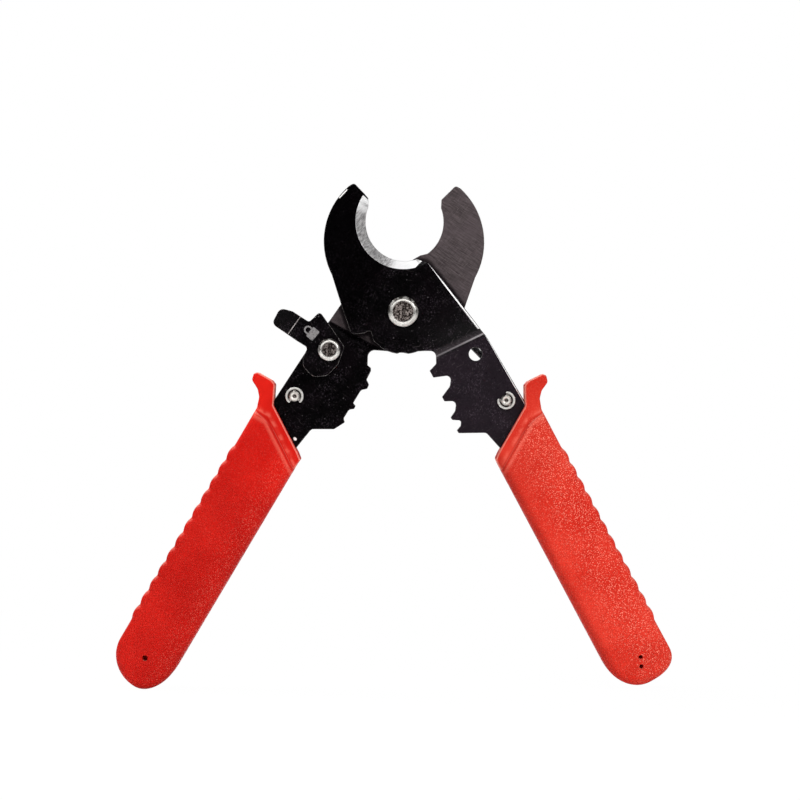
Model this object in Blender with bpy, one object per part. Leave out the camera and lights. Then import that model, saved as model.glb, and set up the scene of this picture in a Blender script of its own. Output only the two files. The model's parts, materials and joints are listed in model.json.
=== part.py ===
"""Hand cable cutter: two stamped arms on one rivet, each half a cutting jaw and half a handle.

The tool stands upright in the XZ plane with its jaws up and its rivets along Y.
The front of the tool faces -Y.  Every outline below is in millimetres from the
pivot axis: x to the right and z up, as seen from the front, with the jaws open.
"""

import math

import bmesh
import bpy
from mathutils import Matrix, Vector

MM = 0.001

# The pivot axis in the frame whose origin is the middle of the object's lowest edge.
PIVOT = Vector((2.69, -2.03, 108.8)) * MM

# Plates.  Each arm is one stamping with a joggle: its jaw half lies to one side
# of the middle plane and its handle half lies in the middle plane.
PLATE = 3.0
FACE_GAP = 0.1
JAW_SHIFT = PLATE / 2 + FACE_GAP
REAR_TURN = 1.8

# The round cutting opening, and the bevel ground round it on the outer face.
CUT_CENTRE = (0.45, 26.1)
CUT_RADIUS = 11.35
BEVEL_RADIUS = 13.85
BEVEL_LEAN = 0.35  # the outer rim of the bevel sits this much further from the throat
EDGE_SPARE = 0.6  # the blank is this much smaller inside, and the bevel takes it away
REAR_LAND = ((7.3, 17.0), (4.9, 16.4), (2.75, 15.15), (3.2, 12.4), (6.6, 13.4), (8.3, 15.6))
JAW_CENTRE = (-1.75, 20.3)
JAW_RADIUS = 21.15

# Joggle lines: distance from the pivot of the bend's start, its width, and the
# direction from the pivot square to the line.
FRONT_JOGGLE = {"start": 13.9, "width": 2.0, "angle": -64.1}
REAR_JOGGLE = {"start": 12.35, "width": 2.0, "angle": -118.6}

# Rivets and holes.
PIVOT_SHANK = 3.0
PIVOT_HEAD = 4.6
PIVOT_HEAD_HEIGHT = 1.5
LOCK_AXIS = (-21.3, -11.0)
LOCK_SHANK = 1.9
LOCK_HEAD = 3.3
LOCK_HEAD_HEIGHT = 1.1
LOCK_TAIL = 2.5
LOCK_TAIL_HEIGHT = 0.8
SPARE_HOLE = (20.97, -12.2)
LEFT_POST = (-31.4, -24.4)
RIGHT_POST = (29.8, -25.6)
POST_SHANK = 1.5
HOLE_PLAY = 0.05

# Lock lever, cut from thinner plate, riding on a wave washer.
LEVER_PLATE = 1.5
LEVER_FRONT = -3.5
LEVER_BEND = {"start": 13.1, "angle": 144.8, "slope": 0.5}

# Torsion spring: a coil behind the arms, and a leg hooked on each post.
WIRE = 0.95
COIL_RADIUS = 7.35
COIL_PITCH = 2.0
COIL_FRONT = 4.35
LEG_SIDE = 45.0
LEG_STRAIGHT = 24.5
KNEE_LENGTH = 14.0
KNEE_PULL = 4.5
HOOK_RADIUS = 2.6
HOOK_SWEEP = 215.0
HOOK_DEPTH = 3.05
BUSH_RADIUS = 5.9
BUSH_END = 7.9
WASHER_RADIUS = 7.2
WASHER_END = 8.8

# Grips: one moulded shape, turned over for the other hand.  u runs down the grip
# from the inner corner of its mouth and v runs from its inner edge outwards, and
# "inner" and "outer" are its edges, the second widening by "spread" for each step of u.
# The outer edge is scalloped at an even pitch.  The end is two quarter ellipses that meet
# at "end_peak"; a "corner_power" under 1 squares up the outer one.
GRIP_THICK = 11.0
GRIP_ROUND = 2.4
SCALLOPS = 12
SCALLOP_FIRST = 6.0
SCALLOP_HEIGHT = 0.6
LEFT_GRIP = {
    "corner": (-29.8, -42.7),
    "angle": 30.7,
    "side": -1,
    "inner": 0.05,
    "outer": 18.25,
    "spread": 0.0,
    "pitch": 4.84,
    "end": 80.6,
    "end_peak": 7.6,
    "end_inner": 11.0,
    "end_outer": 10.0,
    "corner_power": 1.0,
}
RIGHT_GRIP = {
    "corner": (26.85, -42.6),
    "angle": 28.0,
    "side": 1,
    "inner": -0.25,
    "outer": 18.2,
    "spread": 0.006,
    "pitch": 4.67,
    "end": 77.5,
    "end_peak": 9.0,
    "end_inner": 11.0,
    "end_outer": 6.5,
    "corner_power": 0.8,
}
TANG = ((-9.0, 15.3), (56.0, 13.4), (58.5, 11.0), (58.5, 6.6), (56.0, 4.4), (-1.0, 2.9))
TANG_MIDDLE = 9.0
TANG_PLAY = 0.25
SLOT_MOUTH = ((-26.0, 16.8), (-26.0, 0.6))

# Small blind holes left by the moulding pins in the front face of the grips.
PIN_HOLE_DEPTH = 2.5
LEFT_PIN_HOLES = ((-74.2, -99.7, 0.8),)
RIGHT_PIN_HOLES = ((68.3, -99.4, 0.6), (68.5, -102.1, 0.6))

# The finger stop and the slanted mouth: (u, v) of each corner, and which way is inwards.
FINGER_STOP = (
    (-6.5, 18.3, 0.0, -0.8),
    (-9.6, 19.3, 0.2, -0.8),
    (-11.4, 20.9, 0.4, -0.6),
    (-12.8, 23.6, 0.5, -0.5),
    (-14.6, 24.1, 0.2, -0.8),
    (-15.5, 23.3, 0.7, -0.4),
    (-15.6, 18.6, 0.6, 0.2),
    (-15.1, 17.3, 0.5, 0.4),
    (-11.6, 15.5, 0.6, 0.4),
    (-9.7, 14.6, 0.7, 0.4),
    (-2.1, 1.4, 0.8, 0.5),
    (-1.0, -0.1, 0.5, 1.0),
)


def clear_scene():
    for thing in list(bpy.data.objects):
        bpy.data.objects.remove(thing, do_unlink=True)


def material(name, colour, roughness, metallic):
    made = bpy.data.materials.new(name)
    made.use_nodes = True
    shader = made.node_tree.nodes["Principled BSDF"]
    shader.inputs["Base Color"].default_value = (*colour, 1.0)
    shader.inputs["Roughness"].default_value = roughness
    shader.inputs["Metallic"].default_value = metallic
    return made


# ---------------------------------------------------------------- outlines


def arc(centre, radius, start, end, step=6.0):
    """Points along a circle from one angle to the other, in degrees, ends included."""
    count = max(2, math.ceil(abs(end - start) / step))
    points = []
    for i in range(count + 1):
        angle = math.radians(start + (end - start) * i / count)
        points.append((centre[0] + radius * math.cos(angle), centre[1] + radius * math.sin(angle)))
    return points


def fillet(before, corner, after, radius, step=15.0):
    """The rounded corner: points on the arc that touches both sides."""
    here = Vector(corner)
    to_before = Vector(before) - here
    to_after = Vector(after) - here
    length = min(to_before.length, to_after.length)
    to_before.normalize()
    to_after.normalize()
    opening = to_before.angle(to_after)
    if opening > math.radians(178.0):
        return [tuple(here)]
    reach = min(radius / math.tan(opening / 2), length * 0.49)
    radius = reach * math.tan(opening / 2)
    middle = here + (to_before + to_after).normalized() * (radius / math.sin(opening / 2))
    first = here + to_before * reach - middle
    turn = math.pi - opening
    if to_before.x * to_after.y - to_before.y * to_after.x > 0:
        turn = -turn
    count = max(2, math.ceil(math.degrees(abs(turn)) / step))
    points = []
    for i in range(count + 1):
        spoke = first.copy()
        spoke.rotate(Matrix.Rotation(turn * i / count, 2))
        points.append(tuple(middle + spoke))
    return points


def rounded(corners):
    """An open run of corners (x, z, radius): the first and last stay sharp."""
    points = [corners[0][:2]]
    for before, corner, after in zip(corners, corners[1:], corners[2:]):
        if corner[2]:
            points += fillet(before[:2], corner[:2], after[:2], corner[2])
        else:
            points.append(corner[:2])
    points.append(corners[-1][:2])
    return points


def rounded_loop(corners):
    """A closed run of corners, each with its own radius."""
    points = []
    for i, corner in enumerate(corners):
        before = corners[i - 1]
        after = corners[(i + 1) % len(corners)]
        points += fillet(before[:2], corner[:2], after[:2], corner[2]) if corner[2] else [corner[:2]]
    return points


def turned(points, degrees):
    """The points turned clockwise about the pivot, as seen from the front."""
    cos, sin = math.cos(math.radians(degrees)), math.sin(math.radians(degrees))
    return [(x * cos + z * sin, z * cos - x * sin) for x, z in points]


def mirrored(points):
    return [(-x, z) for x, z in points]


def grip_point(u, v, grip):
    """A point of the grip's own plane in the outline plane."""
    angle = math.radians(grip["angle"])
    side = grip["side"]
    x = grip["corner"][0] + side * (u * math.sin(angle) + v * math.cos(angle))
    z = grip["corner"][1] - u * math.cos(angle) + v * math.sin(angle)
    return (x, z)


def head_outline():
    """The half of an arm round the pivot, drawn for the front arm.

    It starts on the back edge, goes round the throat, the cutting arc and the tip,
    down the outside of the jaw, and ends where the toothed edge begins.
    """
    points = rounded([(12.5, 7.9, 0), (7.0, 14.2, 0.5), (5.2, 14.8, 0)])
    points += arc(CUT_CENTRE, CUT_RADIUS - EDGE_SPARE, 285, 167, 4.0)
    points += rounded([(-10.1, 32.9, 0), (-14.1, 37.1, 0.9), (-15.6, 36.3, 0)])
    points += arc(JAW_CENTRE, JAW_RADIUS, 131.0, 207.0, 4.0)[1:]
    points += rounded([
        (-19.3, 6.6, 0),
        (-17.8, 1.8, 3.0),
        (-14.9, -6.6, 1.3),
        (-11.3, -6.2, 1.0),
        (-9.3, -5.3, 0.7),
        (-8.6, -8.4, 1.5),
        (-6.6, -10.0, 0),
    ])
    points += arc((0, 0), 12.15, 238, 261, 4.0)
    points += rounded([(-0.5, -11.75, 0), (0.6, -11.75, 0.4), (1.4, -12.1, 0)])
    points += arc((0, 0), 12.15, 278, 290, 4.0)
    points += [(6.4, -11.3)]
    return points


def front_arm_outline():
    """Left jaw, and right handle with hooked teeth in deep gullets."""
    tang = [grip_point(u, v, RIGHT_GRIP) for u, v in reversed(TANG)]
    teeth = rounded([
        (6.4, -11.3, 0),
        (9.5, -11.35, 2.6),
        (9.6, -15.0, 0.8),
        (7.7, -17.0, 0.25),
        (8.8, -19.0, 0.35),
        (14.0, -18.3, 2.3),
        (13.6, -21.5, 1.2),
        (11.3, -24.6, 0.25),
        (12.0, -25.9, 0.35),
        (15.5, -25.8, 1.8),
        (15.1, -28.7, 1.0),
        (13.8, -30.6, 0.2),
        (14.3, -31.3, 0.3),
        (16.9, -31.4, 1.2),
        (16.7, -33.0, 0.6),
        (15.6, -34.3, 0.2),
        (16.1, -35.1, 0.25),
        (24.1, -35.0, 1.6),
        (*tang[0], 0),
    ])
    back = [(24.0, -6.9), (22.4, -5.1)]
    return head_outline() + teeth[1:] + tang[1:] + back


def rear_arm_outline():
    """Right jaw, and left handle with shallow scooped teeth."""
    tang = [grip_point(u, v, LEFT_GRIP) for u, v in reversed(TANG)]
    teeth = rounded([
        (-5.6, -11.35, 0),
        (-10.2, -10.75, 3.2),
        (-10.3, -15.4, 0.3),
        (-9.35, -16.2, 0.25),
        (-9.35, -17.1, 0.5),
        (-10.6, -19.6, 0.35),
        (-9.9, -21.0, 0.6),
        (-10.4, -22.3, 0.7),
        (-12.2, -22.6, 1.2),
        (-14.5, -26.4, 0.5),
        (-13.8, -27.2, 0.3),
        (-14.2, -28.1, 0.4),
        (-15.7, -28.3, 1.2),
        (-17.3, -30.9, 0.8),
        (-16.9, -32.0, 0.4),
        (-20.0, -33.95, 0.5),
        (-26.6, -33.95, 1.4),
        (*tang[0], 0),
    ])
    back = [(-28.7, -12.4), (-21.4, -2.6), (-17.0, 3.7)]
    return turned(mirrored(head_outline()), REAR_TURN)[:-1] + teeth[1:] + tang[1:] + back


# ---------------------------------------------------------------- mesh work


def new_object(name, bm, look, origin=(0.0, 0.0)):
    """An object whose mesh was drawn in millimetres from the pivot axis.

    Its own origin is put on the axis given, so that a moving piece turns about it.
    """
    bmesh.ops.translate(bm, verts=bm.verts, vec=(-origin[0], 0.0, -origin[1]))
    bmesh.ops.scale(bm, verts=bm.verts, vec=(MM, MM, MM))
    bmesh.ops.recalc_face_normals(bm, faces=bm.faces)
    mesh = bpy.data.meshes.new(name)
    bm.to_mesh(mesh)
    bm.free()
    made = bpy.data.objects.new(name, mesh)
    made.location = PIVOT + Vector((origin[0], 0.0, origin[1])) * MM
    bpy.context.scene.collection.objects.link(made)
    if look is not None:
        mesh.materials.append(look)
    mesh.shade_smooth()
    mesh.set_sharp_from_angle(angle=math.radians(30.0))
    return made


def prism(outline, front, back):
    """A plate: the outline drawn at y = front and carried back to y = back."""
    bm = bmesh.new()
    ring = [bm.verts.new((x, front, z)) for x, z in outline]
    face = bm.faces.new(ring)
    made = bmesh.ops.extrude_face_region(bm, geom=[face])
    moved = [item for item in made["geom"] if isinstance(item, bmesh.types.BMVert)]
    bmesh.ops.translate(bm, verts=moved, vec=(0.0, back - front, 0.0))
    bmesh.ops.recalc_face_normals(bm, faces=bm.faces)
    return bm


def lathe(profile, axis, sides=48):
    """A turned piece: a closed profile of (radius, y) run round an axis along Y."""
    bm = bmesh.new()
    rings = []
    for radius, y in profile:
        if radius == 0:
            rings.append([bm.verts.new((axis[0], y, axis[1]))])
            continue
        ring = []
        for i in range(sides):
            angle = 2 * math.pi * i / sides
            x, z = axis[0] + radius * math.cos(angle), axis[1] + radius * math.sin(angle)
            ring.append(bm.verts.new((x, y, z)))
        rings.append(ring)
    closed = profile[0][0] > 0
    pairs = list(zip(rings, rings[1:])) + ([(rings[-1], rings[0])] if closed else [])
    for low, high in pairs:
        for i in range(sides):
            j = (i + 1) % sides
            corners = [low[i % len(low)], low[j % len(low)], high[j % len(high)], high[i % len(high)]]
            bm.faces.new(list(dict.fromkeys(corners)))
    return bm


def cutter(name, bm):
    made = new_object(name, bm, None)
    made.hide_render = True
    made.display_type = "WIRE"
    return made


def cut(target, tool):
    step = target.modifiers.new(tool.name, "BOOLEAN")
    step.operation = "DIFFERENCE"
    step.solver = "EXACT"
    step.object = tool


def hole_cutter(name, axis, radius, front, back, sides=48):
    return cutter(name, lathe([(0, front), (radius, front), (radius, back), (0, back)], axis, sides))


def joggle(bm, bend, jaw_side):
    """Shift the jaw half sideways and let the plate slope back over the bend's width."""
    angle = math.radians(bend["angle"])
    across = Vector((math.cos(angle), 0.0, math.sin(angle)))
    for distance in (bend["start"], bend["start"] + bend["width"]):
        geometry = list(bm.verts) + list(bm.edges) + list(bm.faces)
        bmesh.ops.bisect_plane(bm, geom=geometry, dist=1e-5, plane_co=across * distance, plane_no=across)
    for vert in bm.verts:
        along = (vert.co.dot(across) - bend["start"]) / bend["width"]
        vert.co.y += jaw_side * JAW_SHIFT * (1.0 - min(max(along, 0.0), 1.0))


# ---------------------------------------------------------------- the pieces


def arm(name, outline, bend, jaw_side, look):
    """A stamped arm.  jaw_side is -1 when the jaw half lies in front, +1 when behind."""
    bm = prism(outline, -PLATE / 2, PLATE / 2)
    joggle(bm, bend, jaw_side)
    return new_object(name, bm, look)


def bevel_cutter(name, centre, jaw_side):
    """The cone that grinds the cutting edge from the arm's outer face."""
    inner = jaw_side * FACE_GAP
    outer = jaw_side * (FACE_GAP + PLATE)
    slope = (BEVEL_RADIUS - CUT_RADIUS) / PLATE
    over = 1.0
    low = (CUT_RADIUS - slope * over, inner - jaw_side * over)
    high = (BEVEL_RADIUS + slope * over, outer + jaw_side * over)
    bm = lathe([(0, low[1]), low, high, (0, high[1])], centre, 96)
    for vert in bm.verts:
        vert.co.x += jaw_side * BEVEL_LEAN * (vert.co.y - inner) / (outer - inner)
    return cutter(name, bm)


def add_land(rear):
    """The short land at the throat of the rear jaw, where the bevel's grinding stops."""
    land = cutter("rear_land", prism(REAR_LAND, FACE_GAP, FACE_GAP + PLATE))
    step = rear.modifiers.new("land", "BOOLEAN")
    step.operation = "UNION"
    step.solver = "EXACT"
    step.object = land


def arms(front_look, rear_look):
    front = arm("front_arm", front_arm_outline(), FRONT_JOGGLE, -1, front_look)
    rear = arm("rear_arm", rear_arm_outline(), REAR_JOGGLE, 1, rear_look)
    rear_centre = turned(mirrored([CUT_CENTRE]), REAR_TURN)[0]
    cut(front, bevel_cutter("front_bevel_cutter", CUT_CENTRE, -1))
    cut(rear, bevel_cutter("rear_bevel_cutter", rear_centre, 1))
    add_land(rear)
    pivot_hole = hole_cutter("pivot_hole_cutter", (0, 0), PIVOT_SHANK + HOLE_PLAY, -9, 9)
    cut(front, pivot_hole)
    cut(rear, pivot_hole)
    cut(front, hole_cutter("spare_hole_cutter", SPARE_HOLE, LOCK_SHANK + HOLE_PLAY, -9, 9, 40))
    cut(rear, hole_cutter("lock_hole_cutter", LOCK_AXIS, LOCK_SHANK + HOLE_PLAY, -9, 9, 40))
    cut(front, hole_cutter("right_post_cutter", RIGHT_POST, POST_SHANK + HOLE_PLAY, -9, 9, 32))
    cut(rear, hole_cutter("left_post_cutter", LEFT_POST, POST_SHANK + HOLE_PLAY, -9, 9, 32))


def pivot_rivet(look):
    """Flat head with a broad chamfer in front, shank, and a formed tail behind."""
    face = -(PLATE + 2 * FACE_GAP)
    tail = WASHER_END + FACE_GAP
    chamfer = 0.7
    profile = [
        (0, face - PIVOT_HEAD_HEIGHT),
        (PIVOT_HEAD - 1.1, face - PIVOT_HEAD_HEIGHT),
        (PIVOT_HEAD, face - PIVOT_HEAD_HEIGHT + chamfer),
        (PIVOT_HEAD, face),
        (PIVOT_SHANK, face),
        (PIVOT_SHANK, tail),
        (PIVOT_HEAD, tail),
        (PIVOT_HEAD - 0.3, tail + 0.7),
        (PIVOT_HEAD - 1.4, tail + 1.2),
        (0, tail + 1.2),
    ]
    new_object("pivot_rivet", lathe(profile, (0, 0), 64), look)


def ring(name, inner, outer, front, back, look, axis=(0, 0), sides=48):
    profile = [(outer, front), (outer, back), (inner, back), (inner, front)]
    return new_object(name, lathe(profile, axis, sides), look)


def lock_rivet(look):
    face = LEVER_FRONT - FACE_GAP
    tail = PLATE / 2 + FACE_GAP
    profile = [
        (0, face - LOCK_HEAD_HEIGHT),
        (LOCK_HEAD - 0.8, face - LOCK_HEAD_HEIGHT),
        (LOCK_HEAD, face - LOCK_HEAD_HEIGHT + 0.5),
        (LOCK_HEAD, face),
        (LOCK_SHANK, face),
        (LOCK_SHANK, tail),
        (LOCK_TAIL, tail),
        (LOCK_TAIL - 0.3, tail + LOCK_TAIL_HEIGHT),
        (0, tail + LOCK_TAIL_HEIGHT),
    ]
    new_object("lock_rivet", lathe(profile, LOCK_AXIS, 48), look, LOCK_AXIS)


def lock_wave_washer(look):
    """A thin ring bent into three waves, which holds the lever where it is left."""
    inner, outer = 2.1, 3.4
    thick, swing = 0.2, 0.08
    middle = (LEVER_FRONT + LEVER_PLATE - PLATE / 2) / 2
    sides = 36
    bm = bmesh.new()
    rings = []
    for radius, offset in ((outer, -thick / 2), (outer, thick / 2), (inner, thick / 2), (inner, -thick / 2)):
        loop = []
        for i in range(sides):
            angle = 2 * math.pi * i / sides
            y = middle + offset + swing * math.cos(3 * angle)
            x = LOCK_AXIS[0] + radius * math.cos(angle)
            loop.append(bm.verts.new((x, y, LOCK_AXIS[1] + radius * math.sin(angle))))
        rings.append(loop)
    for low, high in zip(rings, rings[1:] + rings[:1]):
        for i in range(sides):
            j = (i + 1) % sides
            bm.faces.new((low[i], low[j], high[j], high[i]))
    new_object("lock_wave_washer", bm, look, LOCK_AXIS)


def lock_lever(look):
    """A flat cam with a pointed shoulder and a thumb tab bent towards the front."""
    outline = rounded_loop([
        (-37.7, -3.6, 1.5),
        (-35.4, 0.9, 1.8),
        (-31.9, 0.1, 3.0),
        (-27.1, -3.0, 0.8),
        (-24.0, 0.0, 0.9),
        (-19.9, -5.8, 3.0),
        (-16.9, -10.2, 1.5),
        (-18.8, -15.3, 3.0),
        (-21.9, -18.5, 2.5),
        (-26.0, -18.9, 2.5),
        (-29.1, -15.6, 2.5),
        (-28.6, -12.6, 1.0),
        (-27.5, -10.4, 1.0),
        (-30.6, -8.5, 1.0),
    ])
    bm = prism(outline, LEVER_FRONT, LEVER_FRONT + LEVER_PLATE)
    angle = math.radians(LEVER_BEND["angle"])
    across = Vector((math.cos(angle), 0.0, math.sin(angle)))
    centre = Vector((LOCK_AXIS[0], 0.0, LOCK_AXIS[1]))
    line = centre + across * LEVER_BEND["start"]
    geometry = list(bm.verts) + list(bm.edges) + list(bm.faces)
    bmesh.ops.bisect_plane(bm, geom=geometry, dist=1e-5, plane_co=line, plane_no=across)
    for vert in bm.verts:
        beyond = (vert.co - line).dot(across)
        vert.co.y -= LEVER_BEND["slope"] * max(beyond, 0.0)
    lever = new_object("lock_lever", bm, look, LOCK_AXIS)
    cut(lever, hole_cutter("lever_hole_cutter", LOCK_AXIS, LOCK_SHANK + HOLE_PLAY, -9, 9, 40))


def spring_post(name, axis, look):
    """A stepped pin: grooved end in front for the clip, shoulder, hook neck and head."""
    front = -PLATE / 2
    groove_back, groove_front = front - 0.1, front - 0.85
    neck, shoulder, head = 1.5, 2.1, 2.7
    profile = [
        (0, front - 1.5),
        (POST_SHANK - 0.3, front - 1.5),
        (POST_SHANK, front - 1.3),
        (POST_SHANK, groove_front),
        (POST_SHANK - 0.35, groove_front),
        (POST_SHANK - 0.35, groove_back),
        (POST_SHANK, groove_back),
        (POST_SHANK, PLATE / 2 + FACE_GAP),
        (shoulder, PLATE / 2 + FACE_GAP),
        (shoulder, PLATE / 2 + 0.45),
        (neck, PLATE / 2 + 0.45),
        (neck, HOOK_DEPTH + WIRE + 0.15),
        (head, HOOK_DEPTH + WIRE + 0.15),
        (head - 0.3, HOOK_DEPTH + WIRE + 0.95),
        (0, HOOK_DEPTH + WIRE + 0.95),
    ]
    new_object(name, lathe(profile, axis, 32), look)


def e_clip(name, axis, opening, look):
    """A retaining clip: a ring open on one side, with three lugs that grip the groove."""
    outer, waist, lug = 2.6, 1.85, POST_SHANK - 0.25
    half_gap = 38.0
    front, back = -PLATE / 2 - 0.75, -PLATE / 2 - 0.2
    start, end = opening + half_gap, opening + 360 - half_gap
    lugs = (opening + half_gap + 14, opening + 180, opening + 360 - half_gap - 14)
    points = arc(axis, outer, start, end, 12.0)
    inner = []
    steps = 44
    for i in range(steps + 1):
        degrees = end + (start - end) * i / steps
        near = min(abs(degrees - centre) for centre in lugs)
        radius = lug if near < 14.0 else waist
        angle = math.radians(degrees)
        inner.append((axis[0] + radius * math.cos(angle), axis[1] + radius * math.sin(angle)))
    new_object(name, prism(points + inner, front, back), look)


def spring_leg(side, coil_y, post):
    """From the coil's tangent point down to the end of the hook, for side -1 left or +1 right."""
    slant = math.radians(LEG_SIDE)
    start = Vector((side * math.cos(slant), 0, math.sin(slant))) * COIL_RADIUS
    along = Vector((side * math.sin(slant), 0, -math.cos(slant)))
    knee = start + along * LEG_STRAIGHT
    hook_from = Vector((post[0] - side * HOOK_RADIUS, 0, post[1]))
    knee_pull = knee + along * KNEE_PULL
    hook_pull = hook_from + Vector((0, 0, KNEE_PULL))
    points = []
    straights, bends, hooks = 6, 8, 12
    for i in range(1, straights + 1):
        points.append(start + along * (LEG_STRAIGHT * i / straights))
    for i in range(1, bends + 1):
        t = i / bends
        points.append(
            knee * (1 - t) ** 3
            + knee_pull * 3 * t * (1 - t) ** 2
            + hook_pull * 3 * t * t * (1 - t)
            + hook_from * t**3
        )
    for i in range(1, hooks + 1):
        angle = math.radians(180 + HOOK_SWEEP * i / hooks)
        reach = Vector((side * math.cos(angle), 0, math.sin(angle))) * HOOK_RADIUS
        points.append(Vector((post[0], 0, post[1])) + reach)
    # Each leg comes forward to the level of the hooks: the front one below its
    # knee, the back one all the way down.
    fall_from = LEG_STRAIGHT if side < 0 else 0.0
    travelled = 0.0
    last = start
    for point in points:
        travelled += (point - last).length
        last = point.copy()
        fall = min(max((travelled - fall_from) / (LEG_STRAIGHT + KNEE_LENGTH - fall_from), 0.0), 1.0)
        point.y = coil_y + (HOOK_DEPTH - coil_y) * fall * fall * (3 - 2 * fall)
    return points


def spring_path():
    """Centre line of the wire, from the end of the left hook to the end of the right one."""
    turns = 1 + (180 - 2 * LEG_SIDE) / 360
    left = spring_leg(-1, COIL_FRONT, LEFT_POST)
    right = spring_leg(1, COIL_FRONT + turns * COIL_PITCH, RIGHT_POST)
    coil = []
    steps = 36
    for i in range(steps + 1):
        part = i / steps
        angle = math.radians(180 - LEG_SIDE - 360 * turns * part)
        y = COIL_FRONT + COIL_PITCH * turns * part
        coil.append(Vector((COIL_RADIUS * math.cos(angle), y, COIL_RADIUS * math.sin(angle))))
    return left[::-1] + coil + right


def return_spring(look, sides=8):
    path = spring_path()
    bm = bmesh.new()
    rings = []
    up = Vector((0, 1, 0))
    for i, point in enumerate(path):
        before = path[max(i - 1, 0)]
        after = path[min(i + 1, len(path) - 1)]
        along = (after - before).normalized()
        out = along.cross(up).normalized()
        level = out.cross(along).normalized()
        loop = []
        for k in range(sides):
            angle = 2 * math.pi * k / sides
            loop.append(bm.verts.new(point + (out * math.cos(angle) + level * math.sin(angle)) * WIRE))
        rings.append(loop)
    for low, high in zip(rings, rings[1:]):
        for k in range(sides):
            j = (k + 1) % sides
            bm.faces.new((low[k], low[j], high[j], high[k]))
    bm.faces.new(rings[0])
    bm.faces.new(rings[-1])
    new_object("return_spring", bm, look)


def grip_end(place, inset):
    """The rounded end of the grip: two quarter ellipses that meet at its lowest point."""
    peak, end = place["end_peak"], place["end"]
    outer = place["outer"] + place["spread"] * end
    quarters = (
        (place["end_inner"], place["inner"] - peak, 1.0, range(90, 0, -15)),
        (place["end_outer"], outer - peak, place["corner_power"], range(0, 91, 15)),
    )
    points = []
    for length, side, power, degrees in quarters:
        side -= math.copysign(inset, side)
        for angle in map(math.radians, degrees):
            u = end - length + (length - inset) * abs(math.cos(angle)) ** power
            points.append((u, peak + side * math.sin(angle) ** power))
    return points


def grip_outline(place, inset):
    """The grip's outline in its own plane, pulled in by a distance.

    It runs from the inner corner of the mouth down the inner edge, round the end,
    up the scalloped outer edge, over the finger stop and back along the mouth.
    """
    pitch = place["pitch"]
    points = [(1.6, place["inner"] + inset)] + grip_end(place, inset)
    bump = ((pitch / 2) ** 2 + SCALLOP_HEIGHT**2) / (2 * SCALLOP_HEIGHT)
    radius = bump - inset
    reach = math.degrees(math.asin(min(pitch / 2 / radius, 1.0)))
    for i in reversed(range(SCALLOPS)):
        u = SCALLOP_FIRST + pitch * (i + 0.5)
        centre = (u, place["outer"] + place["spread"] * u + SCALLOP_HEIGHT - bump)
        scallop = arc(centre, radius, 90 - reach, 90 + reach, reach / 2 + 0.01)
        points += scallop if i == 0 else scallop[:-1]
    for u, v, inwards_u, inwards_v in FINGER_STOP:
        points.append((u + inwards_u * inset, v + inwards_v * inset))
    return points


def grip(name, place, pin_holes, look):
    """A moulded sleeve with rounded faces, blind, with a slot for the arm's tang."""
    levels = []
    for degrees in (0, 45, 90):
        angle = math.radians(degrees)
        y = GRIP_THICK / 2 - GRIP_ROUND * (1 - math.cos(angle))
        levels.append((y, GRIP_ROUND * (1 - math.sin(angle))))
    sections = [(-y, inset) for y, inset in levels] + [(y, inset) for y, inset in reversed(levels)]
    bm = bmesh.new()
    rings = []
    for y, inset in sections:
        outline = [grip_point(u, v, place) for u, v in grip_outline(place, inset)]
        rings.append([bm.verts.new((x, y, z)) for x, z in outline])
    for low, high in zip(rings, rings[1:]):
        for i in range(len(low)):
            j = (i + 1) % len(low)
            bm.faces.new((low[i], low[j], high[j], high[i]))
    bm.faces.new(rings[0])
    bm.faces.new(rings[-1])
    made = new_object(name, bm, look)
    slot = [(u + TANG_PLAY, v + math.copysign(TANG_PLAY, v - TANG_MIDDLE)) for u, v in TANG]
    slot = [grip_point(u, v, place) for u, v in [SLOT_MOUTH[0], *slot, SLOT_MOUTH[1]]]
    half = PLATE / 2 + FACE_GAP
    cut(made, cutter(name + "_slot_cutter", prism(slot, -half, half)))
    front = -GRIP_THICK / 2
    for i, (x, z, radius) in enumerate(pin_holes):
        back = front + PIN_HOLE_DEPTH
        cut(made, hole_cutter(f"{name}_pin_cutter_{i}", (x, z), radius, front - 1, back, 16))


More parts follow.
